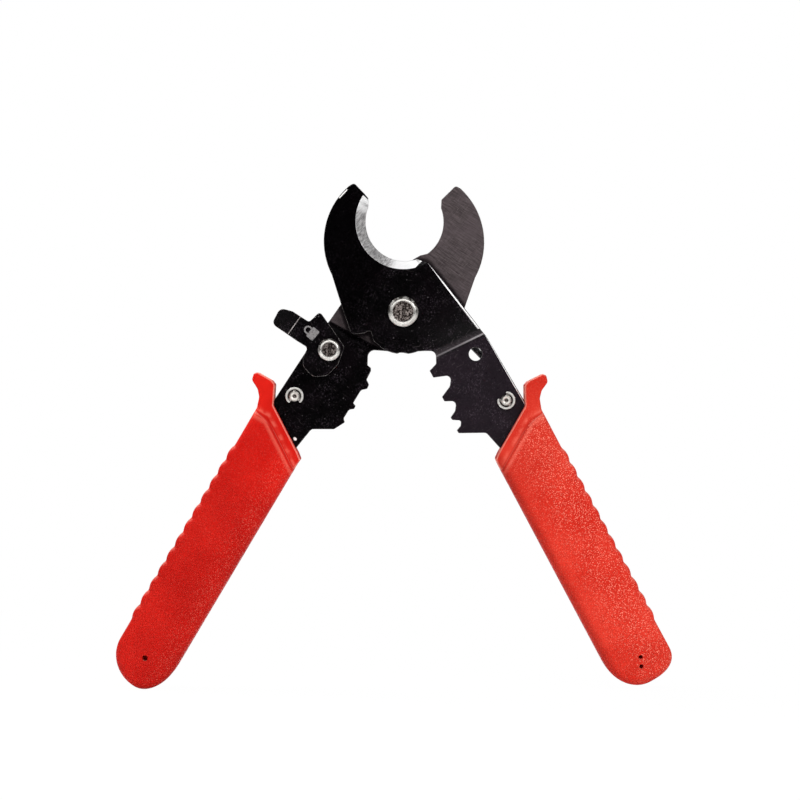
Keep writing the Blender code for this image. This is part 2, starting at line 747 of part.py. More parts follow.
def build():
    clear_scene()
    black = (0.012, 0.011, 0.013)
    nickel = (0.62, 0.60, 0.56)
    arms(
        material("black_oxide_front", black, 0.35, 0.6),
        material("black_oxide_rear", (0.03, 0.026, 0.027), 0.42, 0.6),
    )
    pivot_rivet(material("rivet_nickel", nickel, 0.3, 1.0))
    ring("spring_bush", PIVOT_SHANK + HOLE_PLAY, BUSH_RADIUS, PLATE + 2 * FACE_GAP, BUSH_END,
         material("bush_steel", (0.35, 0.34, 0.33), 0.45, 1.0))
    ring("pivot_washer", PIVOT_SHANK + HOLE_PLAY, WASHER_RADIUS, BUSH_END + FACE_GAP, WASHER_END,
         material("washer_steel", (0.5, 0.49, 0.47), 0.35, 1.0))
    return_spring(material("spring_steel", (0.08, 0.08, 0.085), 0.35, 1.0))
    spring_post("left_spring_post", LEFT_POST, material("left_post_nickel", nickel, 0.35, 1.0))
    spring_post("right_spring_post", RIGHT_POST, material("right_post_nickel", nickel, 0.35, 1.0))
    e_clip("left_e_clip", LEFT_POST, -90.0, material("left_clip_nickel", nickel, 0.3, 1.0))
    e_clip("right_e_clip", RIGHT_POST, 130.0, material("right_clip_nickel", nickel, 0.3, 1.0))
    lock_lever(material("lever_black", black, 0.38, 0.6))
    lock_rivet(material("lock_rivet_nickel", nickel, 0.3, 1.0))
    lock_wave_washer(material("wave_washer_steel", (0.3, 0.3, 0.3), 0.4, 1.0))
    red = (0.66, 0.014, 0.009)
    grip("left_grip", LEFT_GRIP, LEFT_PIN_HOLES, material("left_grip_vinyl", red, 0.5, 0.0))
    grip("right_grip", RIGHT_GRIP, RIGHT_PIN_HOLES, material("right_grip_vinyl", red, 0.5, 0.0))


build()
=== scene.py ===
"""Looks of the hand cable cutter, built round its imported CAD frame."""

import json
import math

import bmesh
import bpy
import numpy as np
from mathutils import Matrix, Vector

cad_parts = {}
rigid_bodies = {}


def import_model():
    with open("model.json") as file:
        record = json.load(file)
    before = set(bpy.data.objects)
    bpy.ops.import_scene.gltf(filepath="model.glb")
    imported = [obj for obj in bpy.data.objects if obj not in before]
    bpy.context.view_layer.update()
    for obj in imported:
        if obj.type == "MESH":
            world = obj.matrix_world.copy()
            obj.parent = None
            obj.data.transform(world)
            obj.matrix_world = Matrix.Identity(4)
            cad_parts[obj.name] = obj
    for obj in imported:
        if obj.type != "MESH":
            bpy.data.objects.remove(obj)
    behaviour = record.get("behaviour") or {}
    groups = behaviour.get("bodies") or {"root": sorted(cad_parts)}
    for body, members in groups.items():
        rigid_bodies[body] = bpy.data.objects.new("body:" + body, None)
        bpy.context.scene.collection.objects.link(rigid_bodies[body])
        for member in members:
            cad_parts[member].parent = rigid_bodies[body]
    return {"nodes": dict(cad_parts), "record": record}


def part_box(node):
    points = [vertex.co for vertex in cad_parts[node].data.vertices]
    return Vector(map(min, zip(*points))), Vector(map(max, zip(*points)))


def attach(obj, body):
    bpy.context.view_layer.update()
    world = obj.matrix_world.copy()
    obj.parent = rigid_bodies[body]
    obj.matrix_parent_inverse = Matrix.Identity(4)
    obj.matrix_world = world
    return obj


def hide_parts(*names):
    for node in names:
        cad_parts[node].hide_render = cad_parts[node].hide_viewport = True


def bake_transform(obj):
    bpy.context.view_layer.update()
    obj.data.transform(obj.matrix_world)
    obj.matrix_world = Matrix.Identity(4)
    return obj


for thing in list(bpy.data.objects):
    bpy.data.objects.remove(thing, do_unlink=True)

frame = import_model()
bpy.context.view_layer.update()

MM = 0.001

# The bodies, and the two axes that everything is placed from.
REAR = "rear_arm_body"
FRONT = "front_arm_body"
LEVER = "lock_lever_body"
joint_at = {joint["name"]: Vector(joint["pos_m"]) for joint in frame["record"]["behaviour"]["joints"]}
PIVOT = joint_at["jaw_pivot"]
LOCK = joint_at["lock_lever_pivot"]


def middle(node):
    """The middle of a CAD node's box."""
    low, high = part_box(node)
    return (low + high) / 2


# ---------------------------------------------------------------- node graphs


class Graph:
    """Short names for the nodes of one tree."""

    def __init__(self, tree):
        self.tree = tree

    def node(self, kind, inputs=None, **settings):
        made = self.tree.nodes.new(kind)
        for key, value in settings.items():
            setattr(made, key, value)
        for key, value in (inputs or {}).items():
            self.put(made.inputs[key], value)
        return made

    def put(self, socket, value):
        if isinstance(value, bpy.types.NodeSocket):
            self.tree.links.new(value, socket)
        else:
            socket.default_value = value

    # Numbers.

    def math(self, operation, a, b=0.0):
        return self.node("ShaderNodeMath", {0: a, 1: b}, operation=operation).outputs[0]

    def add(self, a, b):
        return self.math("ADD", a, b)

    def less(self, a, b):
        return self.math("SUBTRACT", a, b)

    def times(self, a, *others):
        for b in others:
            a = self.math("MULTIPLY", a, b)
        return a

    def most(self, a, b):
        return self.math("MAXIMUM", a, b)

    def rest(self, share):
        """What a share leaves of 1."""
        return self.less(1.0, share)

    def off(self, a, level):
        """How far a number is from a level."""
        return self.math("ABSOLUTE", self.less(a, level))

    def blend(self, share, a, b):
        """The number a where the share is 0, and b where it is 1."""
        return self.add(self.times(a, self.rest(share)), self.times(b, share))

    def ramp(self, value, low, high, to_low=0.0, to_high=1.0):
        """Smooth step from one level to another."""
        inputs = {"Value": value, "From Min": low, "From Max": high, "To Min": to_low, "To Max": to_high}
        return self.node("ShaderNodeMapRange", inputs, interpolation_type="SMOOTHSTEP").outputs["Result"]

    # Colours and vectors.

    def mix(self, factor, a, b):
        """Colour a where the factor is 0, and b where it is 1."""
        made = self.node("ShaderNodeMix", {0: factor}, data_type="RGBA")
        colour_sockets = made.inputs[6], made.inputs[7]
        for socket, colour in zip(colour_sockets, (a, b)):
            self.put(socket, colour if isinstance(colour, bpy.types.NodeSocket) else (*colour, 1.0))
        return made.outputs[2]

    def vector(self, operation, a, b):
        key = "Scale" if operation == "SCALE" else 1
        return self.node("ShaderNodeVectorMath", {0: a, key: b}, operation=operation).outputs[0]

    def measure(self, operation, *vectors):
        """A vector sum that gives a number."""
        inputs = dict(enumerate(vectors))
        return self.node("ShaderNodeVectorMath", inputs, operation=operation).outputs["Value"]

    def axes(self, vector):
        return self.node("ShaderNodeSeparateXYZ", {0: vector}).outputs

    # Places on the piece, in millimetres.

    def place(self, centre=(0.0, 0.0, 0.0)):
        """Position on the piece in millimetres from a point of the row frame."""
        here = self.node("ShaderNodeTexCoord").outputs["Object"]
        return self.vector("SCALE", self.vector("SUBTRACT", here, tuple(centre)), 1000.0)

    def towards(self, place, degrees):
        """How far a place lies in one direction of the XZ plane."""
        angle = math.radians(degrees)
        x, _, z = self.axes(place)
        return self.add(self.times(x, math.cos(angle)), self.times(z, math.sin(angle)))

    def reach(self, place):
        """How far a place is from the Y axis."""
        x, _, z = self.axes(place)
        return self.math("SQRT", self.add(self.times(x, x), self.times(z, z)))

    def turn(self, place, degrees, stretch):
        """Turn the XZ plane, then scale its axes: for brushed and ground lines."""
        inputs = {"Vector": place, "Angle": math.radians(degrees)}
        turned = self.node("ShaderNodeVectorRotate", inputs, rotation_type="Y_AXIS").outputs[0]
        return self.vector("MULTIPLY", turned, stretch)

    # Patterns and surface.

    def noise(self, place, scale, detail=3.0, roughness=0.55):
        inputs = {"Vector": place, "Scale": scale, "Detail": detail, "Roughness": roughness}
        return self.node("ShaderNodeTexNoise", inputs).outputs["Fac"]

    def cells(self, place, scale, feature="F1"):
        return self.node("ShaderNodeTexVoronoi", {"Vector": place, "Scale": scale}, feature=feature)

    def bump(self, height, distance_mm, strength, normal=None):
        inputs = {"Height": height, "Distance": distance_mm * MM, "Strength": strength}
        if normal is not None:
            inputs["Normal"] = normal
        return self.node("ShaderNodeBump", inputs).outputs["Normal"]

    def edge(self, radius_mm):
        """(rounded normal, how far a point is into an edge)"""
        rounded = self.node("ShaderNodeBevel", {"Radius": radius_mm * MM}, samples=6).outputs["Normal"]
        flat = self.node("ShaderNodeNewGeometry").outputs["Normal"]
        return rounded, self.ramp(self.measure("DOT_PRODUCT", rounded, flat), 0.995, 0.8)


class Look(Graph):
    """The nodes of one new material."""

    def __init__(self, name):
        self.material = bpy.data.materials.new(name)
        self.material.use_nodes = True
        super().__init__(self.material.node_tree)
        self.shader = self.tree.nodes["Principled BSDF"]

    def finish(self, **inputs):
        for name, value in inputs.items():
            if isinstance(value, tuple):
                value = (*value, 1.0)
            self.put(self.shader.inputs[name.replace("_", " ")], value)
        return self.material


def scaled(colour, level):
    return tuple(level * part for part in colour)


# ---------------------------------------------------------------- blackened plates

OXIDE_DEEP = (0.0003, 0.0002, 0.0003)
OXIDE_LIFTED = (0.0045, 0.0025, 0.0038)
OXIDE_GRAIN = (0.090, 0.070, 0.088)
OXIDE_ARCS = (0.070, 0.058, 0.060)
OXIDE_SMOOTH = (0.0002, 0.0001, 0.0002)  # by the front jaw
OXIDE_HANDLE = (0.028, 0.019, 0.027)  # below the front joggle
JAW_DARK = (0.034, 0.027, 0.028)
JAW_LIGHT = (0.105, 0.085, 0.088)
JAW_PATCH = (0.085, 0.066, 0.072)
JAW_SHADE = (0.008, 0.006, 0.007)
JOGGLE_SLOPE_LIGHT = (0.075, 0.062, 0.070)
JOGGLE_BEND_HIGHLIGHT = (0.30, 0.28, 0.29)
DUST = (0.20, 0.18, 0.19)
EDGE_WEAR_AND_HIGHLIGHT = (0.30, 0.28, 0.27)
CREASE_HIGHLIGHT = (0.42, 0.38, 0.37)
HIGHLIGHT_WHITE = (0.9, 0.88, 0.86)
BACK_BLACK = (0.004, 0.003, 0.004)
BACK_ROLL_HIGHLIGHT = (0.86, 0.85, 0.85)
GROUND_DARK = (0.27, 0.26, 0.265)
GROUND_LIGHT = (0.82, 0.81, 0.81)
WHITE = (1.0, 1.0, 1.0)

# Directions are in degrees above +X in the XZ plane, distances in millimetres from the pivot.
BEVEL_RADIUS = 13.85
BEVEL_HIGHLIGHT_ENDS = (135.0, 285.0)  # the two ends of the bevel, which carry a painted highlight
BEVEL_END_FACES = (0.724, 0.0, -0.69)  # the ground face stops short of the throat, along a slant
BEVEL_END = 11.45  # distance of that slant from the middle of the cutting circle
BEVEL_LINES = 48.0
FRONT_CUT = PIVOT + Vector((0.45, 0.0, 26.1)) * MM
REAR_CUT = PIVOT + Vector((0.37, 0.0, 26.1)) * MM
FRONT_TIP = (51.0, 18.85)  # where the ground face stops at the jaw's tip: direction and distance
REAR_TIP = (129.0, 19.0)
TIP_STREAK = ((-17.3, 34.0), 46.8, 1.9)  # painted highlight on the edge beside the front jaw's tip
REAR_GLINT = (-31.3, -1.5, -36.7)  # a painted glint where the rear arm enters its grip
REAR_JAW_END = (-118.6, 12.4)  # square to the rear joggle, and where the grey jaw ends
FRONT_JOGGLE = (-64.1, 13.9)  # square to the front joggle, and where it starts
JOGGLE_WIDTH = 2.0
FRONT_JAW_SIDE = 150.0  # direction in which the front arm gets smoother and cleaner
BACK_FACES = 35.6  # direction the front arm's back faces
LEVER_CREASE = (144.8, 12.3)  # the tab's bend, from the lever's rivet


def specks(g, place, scale, size, share):
    """Small dust specks: how much of one there is at a point."""
    cells = g.cells(place, scale)
    dot = g.ramp(cells.outputs["Distance"], size, size * 0.5)
    chosen = g.math("GREATER_THAN", g.axes(cells.outputs["Color"])[0], 1.0 - share)
    return g.times(dot, chosen)


def ground_steel(g, place, lines):
    """(colour, roughness, height) of freshly ground steel with its lines along one direction."""
    fine = g.noise(g.turn(place, lines, (0.22, 1.0, 3.4)), 1.0, 4.0, 0.65)
    broad = g.noise(g.turn(place, lines, (0.12, 1.0, 1.3)), 1.0, 2.0)
    level = g.add(g.times(fine, 0.75), g.times(broad, 0.35))
    colour = g.mix(g.ramp(level, 0.40, 0.70), GROUND_DARK, GROUND_LIGHT)
    return colour, g.ramp(fine, 0.3, 0.7, 0.5, 0.34), fine


class Plate:
    """Blackened steel plate, painted layer by layer.  A depth under 1 makes the black deeper."""

    def __init__(self, name, depth=1.0):
        self.g = g = Look(name)
        self.place = place = g.place(PIVOT)
        self.normal = g.node("ShaderNodeNewGeometry").outputs["True Normal"]
        self.patches = g.noise(place, 0.11, 3.0, 0.6)
        mottle = g.noise(place, 1.6, 4.0, 0.7)
        tone = g.add(g.times(self.patches, 0.6), g.times(mottle, 0.4))
        self.colour = g.mix(g.ramp(tone, 0.42, 0.62), OXIDE_DEEP, scaled(OXIDE_LIFTED, depth))
        self.roughness = g.ramp(g.noise(place, 0.7, 4.0, 0.6), 0.3, 0.7, 0.26, 0.38)
        scratch = g.noise(g.turn(place, 35.0, (0.22, 1.0, 5.5)), 1.0, 3.0, 0.6)
        self.height = g.add(g.times(scratch, 0.5), g.times(mottle, 0.5))
        self.shine = 0.12 * depth
        self.clean = 0.0
        self.cone = 0.0
        self.rim_kept = 1.0
        self.grain(depth)
        self.arcs(depth)

    def paint(self, share, colour):
        self.colour = self.g.mix(share, self.colour, colour)

    def grain(self, depth):
        g = self.g
        grain = g.ramp(g.noise(self.place, 2.4, 4.0, 0.75), 0.53, 0.66)
        where = g.ramp(g.noise(self.place, 0.16, 2.0), 0.4, 0.62, 0.15, 1.0)
        self.paint(g.times(grain, where, 0.75 * depth), OXIDE_GRAIN)

    def arcs(self, depth):
        """Faint broken marks round the pivot, rubbed by the other arm."""
        g = self.g
        reach = g.add(g.measure("LENGTH", self.place), g.times(g.noise(self.place, 0.35, 2.0), 3.0))
        off = g.off(g.math("FRACT", g.times(reach, 0.9)), 0.5)
        broken = g.ramp(g.noise(self.place, 0.55, 2.0), 0.56, 0.66)
        self.paint(g.times(g.ramp(off, 0.09, 0.02), broken, 0.6 * depth), OXIDE_ARCS)

    def grey_jaw(self, degrees, end):
        """Brown-grey jaw with brushed lines, in shade close to the other arm."""
        g = self.g
        along = g.towards(self.place, degrees)
        on_jaw = g.ramp(along, end + 0.25, end - 0.25)
        self.shine = g.ramp(along, end + 1.9, end + 2.4, 0.02, self.shine)
        brushed = g.noise(g.turn(self.place, -33.0, (0.25, 1.0, 4.2)), 1.0, 4.0, 0.7)
        cross = g.noise(g.turn(self.place, 52.0, (0.3, 1.0, 5.0)), 1.0, 3.0, 0.6)
        lines = g.add(g.times(brushed, 0.7), g.times(cross, 0.3))
        grey = g.mix(g.ramp(lines, 0.36, 0.68), JAW_DARK, JAW_LIGHT)
        grey = g.mix(g.ramp(self.patches, 0.35, 0.7, 0.0, 0.4), grey, JAW_PATCH)
        open_sky = g.node("ShaderNodeAmbientOcclusion", {"Distance": 1.4 * MM}, samples=6).outputs["AO"]
        grey = g.mix(g.ramp(open_sky, 0.97, 0.80, 0.0, 0.95), grey, JAW_SHADE)
        self.paint(on_jaw, grey)
        self.roughness = g.blend(on_jaw, self.roughness, g.ramp(lines, 0.35, 0.65, 0.42, 0.58))

    def joggle(self, degrees, start):
        """Painted light on the joggle: a lighter, streaked slope and a highlight along its bend line, with a
        smoother black on its jaw side.
        """
        g = self.g
        end = start + JOGGLE_WIDTH
        along = g.towards(self.place, degrees)
        band = g.times(g.ramp(along, start - 0.2, start + 0.4), g.ramp(along, end + 0.15, end - 0.1))
        # Painted light on the slope, streaked and growing towards the bend.
        streaks = g.noise(g.turn(self.place, -90.0 - degrees, (0.2, 1.0, 2.5)), 1.0, 3.0)
        slope_light = g.times(g.ramp(streaks, 0.3, 0.7, 0.2, 0.7), g.ramp(along, start, end, 0.25, 1.0))
        self.paint(g.times(band, slope_light), JOGGLE_SLOPE_LIGHT)
        # Painted highlight along the joggle's bend line.
        line = g.ramp(g.off(along, end - 0.1), 0.38, 0.08)
        across = g.towards(self.place, degrees + 90.0)
        self.paint(g.times(line, g.ramp(across, 8.0, 16.0, 0.4, 0.9)), JOGGLE_BEND_HIGHLIGHT)
        self.paint(g.ramp(along, end - 0.1, end + 1.0, 0.0, 0.35), OXIDE_HANDLE)
        to_jaw = g.towards(self.place, FRONT_JAW_SIDE)
        self.clean = g.ramp(to_jaw, 6.0, 14.0)
        smooth = g.ramp(to_jaw, 2.0, 14.0, 0.0, 0.9)
        smooth = g.most(smooth, g.ramp(along, start - 1.0, start - 6.0, 0.0, 0.6))
        self.paint(smooth, OXIDE_SMOOTH)
        self.shine = g.less(self.shine, g.times(smooth, 0.1))

    def dust(self):
        g = self.g
        coarse = g.most(specks(g, self.place, 0.8, 0.15, 0.35), specks(g, self.place, 0.42, 0.11, 0.35))
        fine = specks(g, self.place, 1.5, 0.17, 0.16)
        self.paint(g.times(g.most(coarse, g.times(fine, 0.6)), g.rest(self.clean), 0.26), DUST)

    def ground_cone(self, centre):
        """Find the ground cone round a cutting circle, so that the rim's wear and painted highlight leave it
        out.
        """
        g = self.g
        self.from_cut = g.place(centre)
        self.cut_reach = g.reach(self.from_cut)
        facing = g.math("ABSOLUTE", g.axes(self.normal)[1])
        slanted = g.times(g.math("LESS_THAN", facing, 0.86), g.math("GREATER_THAN", facing, 0.4))
        self.cone = g.times(slanted, g.math("LESS_THAN", self.cut_reach, BEVEL_RADIUS + 0.5))
        self.rim_kept = g.times(g.ramp(g.off(self.cut_reach, BEVEL_RADIUS), 0.6, 1.0), g.rest(self.cone))

    def rim_wear_and_highlight(self, level):
        """Edges worn down to steel, here more and there less; the lighter edges also serve as painted
        highlights along the rims.
        """
        g = self.g
        self.rounded, rim = g.edge(0.32)
        worn = g.ramp(g.noise(self.place, 0.9, 3.0), 0.35, 0.62, 0.12, level)
        worn = g.times(rim, self.rim_kept, worn)
        self.paint(worn, EDGE_WEAR_AND_HIGHLIGHT)
        self.metal = g.times(worn, 0.7)

    def crease(self, degrees, distance):
        """A painted highlight along the tab's bend, square to a direction from the lever's rivet, broken up
        by noise.
        """
        g = self.g
        off = g.off(g.towards(g.place(LOCK), degrees), distance)
        broken = g.noise(g.turn(self.place, degrees, (1.0, 1.0, 0.6)), 1.3, 3.0)
        broken = g.ramp(broken, 0.35, 0.55, 0.1, 0.9)
        self.paint(g.times(g.ramp(off, 0.17, 0.05), broken), CREASE_HIGHLIGHT)

    def glint(self, spot):
        """A painted glint: a bright spot with an uneven edge."""
        g = self.g
        away = g.add(g.measure("DISTANCE", self.place, spot), g.times(g.noise(self.place, 1.6), 0.7))
        self.paint(g.ramp(away, 0.95, 0.7), HIGHLIGHT_WHITE)

    def streak(self, centre, degrees, half):
        """A painted highlight line on the front face: its middle, direction and half length."""
        g = self.g
        lit = g.math("LESS_THAN", g.axes(self.normal)[1], -0.5)
        for turned, stop, fade in ((degrees, half, 0.5), (degrees + 90.0, 0.22, 0.12)):
            angle = math.radians(turned)
            level = centre[0] * math.cos(angle) + centre[1] * math.sin(angle)
            lit = g.times(lit, g.ramp(g.off(g.towards(self.place, turned), level), stop, stop - fade))
        self.paint(lit, HIGHLIGHT_WHITE)

    def rolled_back(self, degrees):
        """A black back, with a painted highlight along its rolled front corner."""
        g = self.g
        angle = math.radians(degrees)
        faces = g.measure("DOT_PRODUCT", self.normal, (math.cos(angle), 0.0, math.sin(angle)))
        on_back = g.times(g.ramp(faces, 0.06, 0.13), g.rest(self.cone))
        # Painted highlight: the rolled corner's facets that face most to the front are painted near white.
        rolled = g.times(on_back, g.ramp(faces, 0.62, 0.54))
        self.paint(on_back, BACK_BLACK)
        self.paint(rolled, BACK_ROLL_HIGHLIGHT)
        self.metal = g.times(self.metal, g.rest(on_back))
        self.shine = g.times(self.shine, g.rest(on_back))
        self.roughness = g.add(self.roughness, g.times(rolled, 0.2))

    def ground(self, tip_degrees, tip_distance):
        """Ground steel on the cone, with a painted highlight towards its two ends."""
        g = self.g
        to_end = g.measure("DOT_PRODUCT", self.from_cut, BEVEL_END_FACES)
        to_tip = g.towards(self.place, tip_degrees)
        ground = self.cone
        for distance, limit in ((to_end, BEVEL_END), (to_tip, tip_distance)):
            ground = g.times(ground, g.ramp(distance, limit + 0.1, limit - 0.1))
        steel, steel_rough, lines = ground_steel(g, self.place, BEVEL_LINES)
        # Painted highlight: the ground face is mixed towards white near its two ends.
        bevel_highlight = 0.0
        for degrees in BEVEL_HIGHLIGHT_ENDS:
            near = g.math("DIVIDE", g.towards(self.from_cut, degrees), self.cut_reach)
            bevel_highlight = g.most(bevel_highlight, g.ramp(near, 0.80, 0.91))
        self.paint(ground, g.mix(g.times(bevel_highlight, 0.9), steel, WHITE))
        self.roughness = g.blend(ground, self.roughness, steel_rough)
        self.metal = g.blend(ground, self.metal, 0.9)
        self.height = g.blend(ground, self.height, lines)

    def finish(self):
        normal = self.g.bump(self.height, 0.03, 0.35, self.rounded)
        return self.g.finish(Base_Color=self.colour, Roughness=self.roughness, Metallic=self.metal,
                             Normal=normal, IOR=1.42, Specular_IOR_Level=self.shine)


def rear_arm_look():
    plate = Plate("rear_arm_black_oxide_look", 0.4)
    plate.grey_jaw(*REAR_JAW_END)
    plate.dust()
    plate.ground_cone(REAR_CUT)
    plate.rim_wear_and_highlight(0.75)
    plate.glint(REAR_GLINT)
    plate.ground(*REAR_TIP)
    return plate.finish()


def front_arm_look():
    plate = Plate("front_arm_black_oxide_look")
    plate.joggle(*FRONT_JOGGLE)
    plate.dust()
    plate.ground_cone(FRONT_CUT)
    plate.rim_wear_and_highlight(0.75)
    plate.streak(*TIP_STREAK)
    plate.rolled_back(BACK_FACES)
    plate.ground(*FRONT_TIP)
    return plate.finish()


def lever_look():
    plate = Plate("lever_black_oxide_look", 0.5)
    plate.dust()
    plate.rim_wear_and_highlight(1.0)
    plate.crease(*LEVER_CREASE)
    return plate.finish()


# ---------------------------------------------------------------- nickel and plain steel

NICKEL = (0.78, 0.76, 0.72)
POST_NICKEL = (0.78, 0.75, 0.70)
CLIP_NICKEL = (0.84, 0.82, 0.78)
NICKEL_EDGE_HIGHLIGHT = (0.95, 0.94, 0.92)
NICKEL_GAP_SHADE = (0.10, 0.08, 0.07)
PIT_DARK = (0.010, 0.007, 0.006)
RING_SHADE = (0.035, 0.028, 0.024)
STEEL_EDGE = (0.7, 0.69, 0.67)


def plated(name, centre, disc=0.0, tint=NICKEL, calm=False, disc_light=0.42, shaded_ring=None):
    """Nickel plate with turning rings; inside the disc's radius the end is pitted and matt.

    A calm plate has a smoother sheen; a shaded ring is painted shade between two radii, along a clip's inner
    edge by the gap round its post; and outside the disc the rim has painted shade towards the top.
    """
    g = Look(name)
    place = g.place(centre)
    _, y, z = g.axes(place)
    reach = g.reach(place)
    inputs = {"W": g.times(reach, 7.0), "Scale": 1.0, "Detail": 3.0}
    rings = g.node("ShaderNodeTexNoise", inputs, noise_dimensions="1D").outputs["Fac"]
    stain = g.noise(place, 0.8, 4.0, 0.65)
    colour = g.mix(g.ramp(stain, 0.4, 0.7), tint, scaled(tint, 0.74))
    smoothest = 0.36 if calm else 0.2
    roughness = g.ramp(g.add(rings, stain), 0.7, 1.3, smoothest, smoothest + 0.16)
    height = g.times(rings, 0.05 if calm else 0.3)
    if disc:
        pits = g.noise(place, 1.9, 4.0, 0.8)
        inside = g.times(g.ramp(reach, disc + 0.1, disc - 0.1), g.math("LESS_THAN", y, 0.0))
        light = (disc_light, 0.86 * disc_light, 0.80 * disc_light)
        pitted = g.mix(g.ramp(pits, 0.45, 0.66), PIT_DARK, light)
        # Painted shade: outside the disc the rim is darker towards the top, broken up by noise.
        rim_side = g.ramp(reach, disc + 0.35, disc + 0.75)
        upper = g.ramp(z, -1.6, 1.2, 0.35, 0.95)
        broken = g.ramp(g.noise(place, 0.75), 0.62, 0.5, 0.2, 1.0)
        colour = g.mix(g.times(rim_side, upper, broken), colour, RING_SHADE)
        colour = g.mix(inside, colour, pitted)
        roughness = g.blend(inside, roughness, 0.5)
        height = g.add(height, g.times(pits, inside, 3.0))
    rounded, rim = g.edge(0.15)
    # Painted highlight along the rounded edges.
    colour = g.mix(g.times(rim, 0.5), colour, NICKEL_EDGE_HIGHLIGHT)
    # Painted shade: a dark ring along the clip's inner edge, by the gap round its post.
    if shaded_ring is not None:
        inner, outer = shaded_ring
        gap_shade = g.times(g.ramp(reach, inner - 0.1, inner + 0.1), g.ramp(reach, outer + 0.1, outer - 0.1))
        colour = g.mix(g.times(gap_shade, g.ramp(stain, 0.35, 0.65, 0.6, 0.95)), colour, NICKEL_GAP_SHADE)
    return g.finish(Base_Color=colour, Roughness=roughness, Metallic=1.0,
                    Normal=g.bump(height, 0.06, 0.5, rounded))


def plain_steel(name, light, dark, roughness):
    g = Look(name)
    grain = g.noise(g.place(PIVOT), 1.4, 5.0, 0.7)
    colour = g.mix(g.ramp(grain, 0.35, 0.7), dark, light)
    rounded, rim = g.edge(0.12)
    colour = g.mix(g.times(rim, 0.4), colour, STEEL_EDGE)
    return g.finish(Base_Color=colour, Roughness=g.ramp(grain, 0.3, 0.7, roughness - 0.08, roughness + 0.12),
                    Metallic=1.0, Normal=g.bump(grain, 0.03, 0.4, rounded))


# ---------------------------------------------------------------- vinyl

HIGHLIGHT_RED = (0.95, 0.27, 0.19)
LIT_FACE_RED = (0.80, 0.25, 0.19)
LEFT_VINYL = {
    "deep": (0.41, 0.0035, 0.001),
    "light": (0.51, 0.008, 0.0035),
    "pale": 0.3,
    "pale_across": (9.0, 2.0),
    "shade": 0.1,
    "top": 1.22,
}
RIGHT_VINYL = {
    "deep": (0.575, 0.018, 0.008),
    "light": (0.70, 0.038, 0.020),
    "pale": 1.0,
    "pale_across": (2.0, 13.0),
    "shade": 0.5,
    "top": 0.88,
}

# The crease below the mouth's smooth band: u = CREASE_START - CREASE_SLOPE * v, but not above CREASE_TOP.
CREASE_START = 3.7
CREASE_SLOPE = 0.64
CREASE_TOP = -5.3


def vinyl(name, grip, reds):
    """Moulded vinyl with a pebble grain: a smooth collar by the mouth, then a grainy body.

    pale is how much of the pebbles carry a painted highlight and pale_across the two places across the
    grip between which that fades in, shade is how much painted shade darkens the inner edge, and top
    how bright the red is towards the mouth.
    """
    g = Look(name)
    deep, pale = reds["deep"], reds["pale"]
    angle, side = math.radians(grip["angle"]), grip["side"]
    place = g.place(PIVOT + Vector((grip["corner"][0], 0.0, grip["corner"][1])) * MM)
    u = g.measure("DOT_PRODUCT", place, (side * math.sin(angle), 0.0, -math.cos(angle)))
    v = g.measure("DOT_PRODUCT", place, (side * math.cos(angle), 0.0, math.sin(angle)))
    lumps = g.cells(place, 2.9, "SMOOTH_F1").outputs["Distance"]
    fine = g.noise(place, 5.0, 3.0, 0.6)
    broad = g.noise(place, 0.07, 3.0, 0.5)
    below = g.less(u, g.most(g.less(CREASE_START, g.times(v, CREASE_SLOPE)), CREASE_TOP))
    grain = g.add(g.times(g.ramp(below, -0.3, 0.5), 0.85), 0.15)

    colour = g.mix(g.ramp(broad, 0.3, 0.7), deep, reds["light"])
    colour = g.mix(g.ramp(u, 26.0, 2.0), colour, g.vector("SCALE", colour, reds["top"]))
    colour = g.mix(g.times(g.ramp(fine, 0.5, 0.72), g.times(grain, pale)), colour, scaled(deep, 0.6))
    # Painted highlights on the pebble tops, fading in across the grip.
    pebbles = g.times(g.ramp(lumps, 0.38, 0.08), grain)
    share = g.times(g.ramp(v, *reds["pale_across"], 0.25, 1.0), pale)
    colour = g.mix(g.times(pebbles, share), colour, HIGHLIGHT_RED)

    # Painted highlight on the body's edge just past the crease.
    lit = g.times(g.ramp(below, 0.3, 0.8), g.ramp(below, 2.2, 1.0))
    colour = g.mix(g.times(lit, 0.22), colour, HIGHLIGHT_RED)
    # Painted shade: a dark line in the crease.
    crease_shade = g.ramp(g.off(below, -0.15), 0.45, 0.1, 0.0, 0.22)
    colour = g.mix(crease_shade, colour, scaled(deep, 0.45))
    # Painted sheen: pale patches on the collar a little inside the crease.
    band = g.times(g.ramp(below, -2.6, -1.2), g.ramp(below, -0.5, -1.0))
    collar_sheen = g.ramp(g.noise(place, 0.5, 3.0), 0.4, 0.65, 0.05, 0.28)
    colour = g.mix(g.times(band, collar_sheen), colour, HIGHLIGHT_RED)
    # Painted shade along the inner edge.
    colour = g.mix(g.ramp(v, 3.2, 0.6, 0.0, reds["shade"]), colour, scaled(deep, 0.55))

    # Painted light: faces turned towards the mouth and faces turned up are lighter.
    normal = g.node("ShaderNodeNewGeometry").outputs["Normal"]
    mouth = g.measure("DOT_PRODUCT", normal, (side * -0.885, 0.0, 0.466))
    facing = g.times(g.ramp(mouth, 0.25, 0.6), g.ramp(mouth, 0.97, 0.88), g.ramp(below, 0.0, -0.8))
    upward = g.times(g.ramp(g.axes(normal)[2], 0.35, 0.75), 0.4)
    colour = g.mix(g.most(g.times(facing, 0.75), upward), colour, LIT_FACE_RED)

    height = g.times(g.less(g.times(fine, 0.3), lumps), grain)
    roughness = g.ramp(fine, 0.3, 0.7, 0.42, 0.56)
    return g.finish(Base_Color=colour, Roughness=roughness, Normal=g.bump(height, 0.14, 0.7),
                    Specular_IOR_Level=0.09)


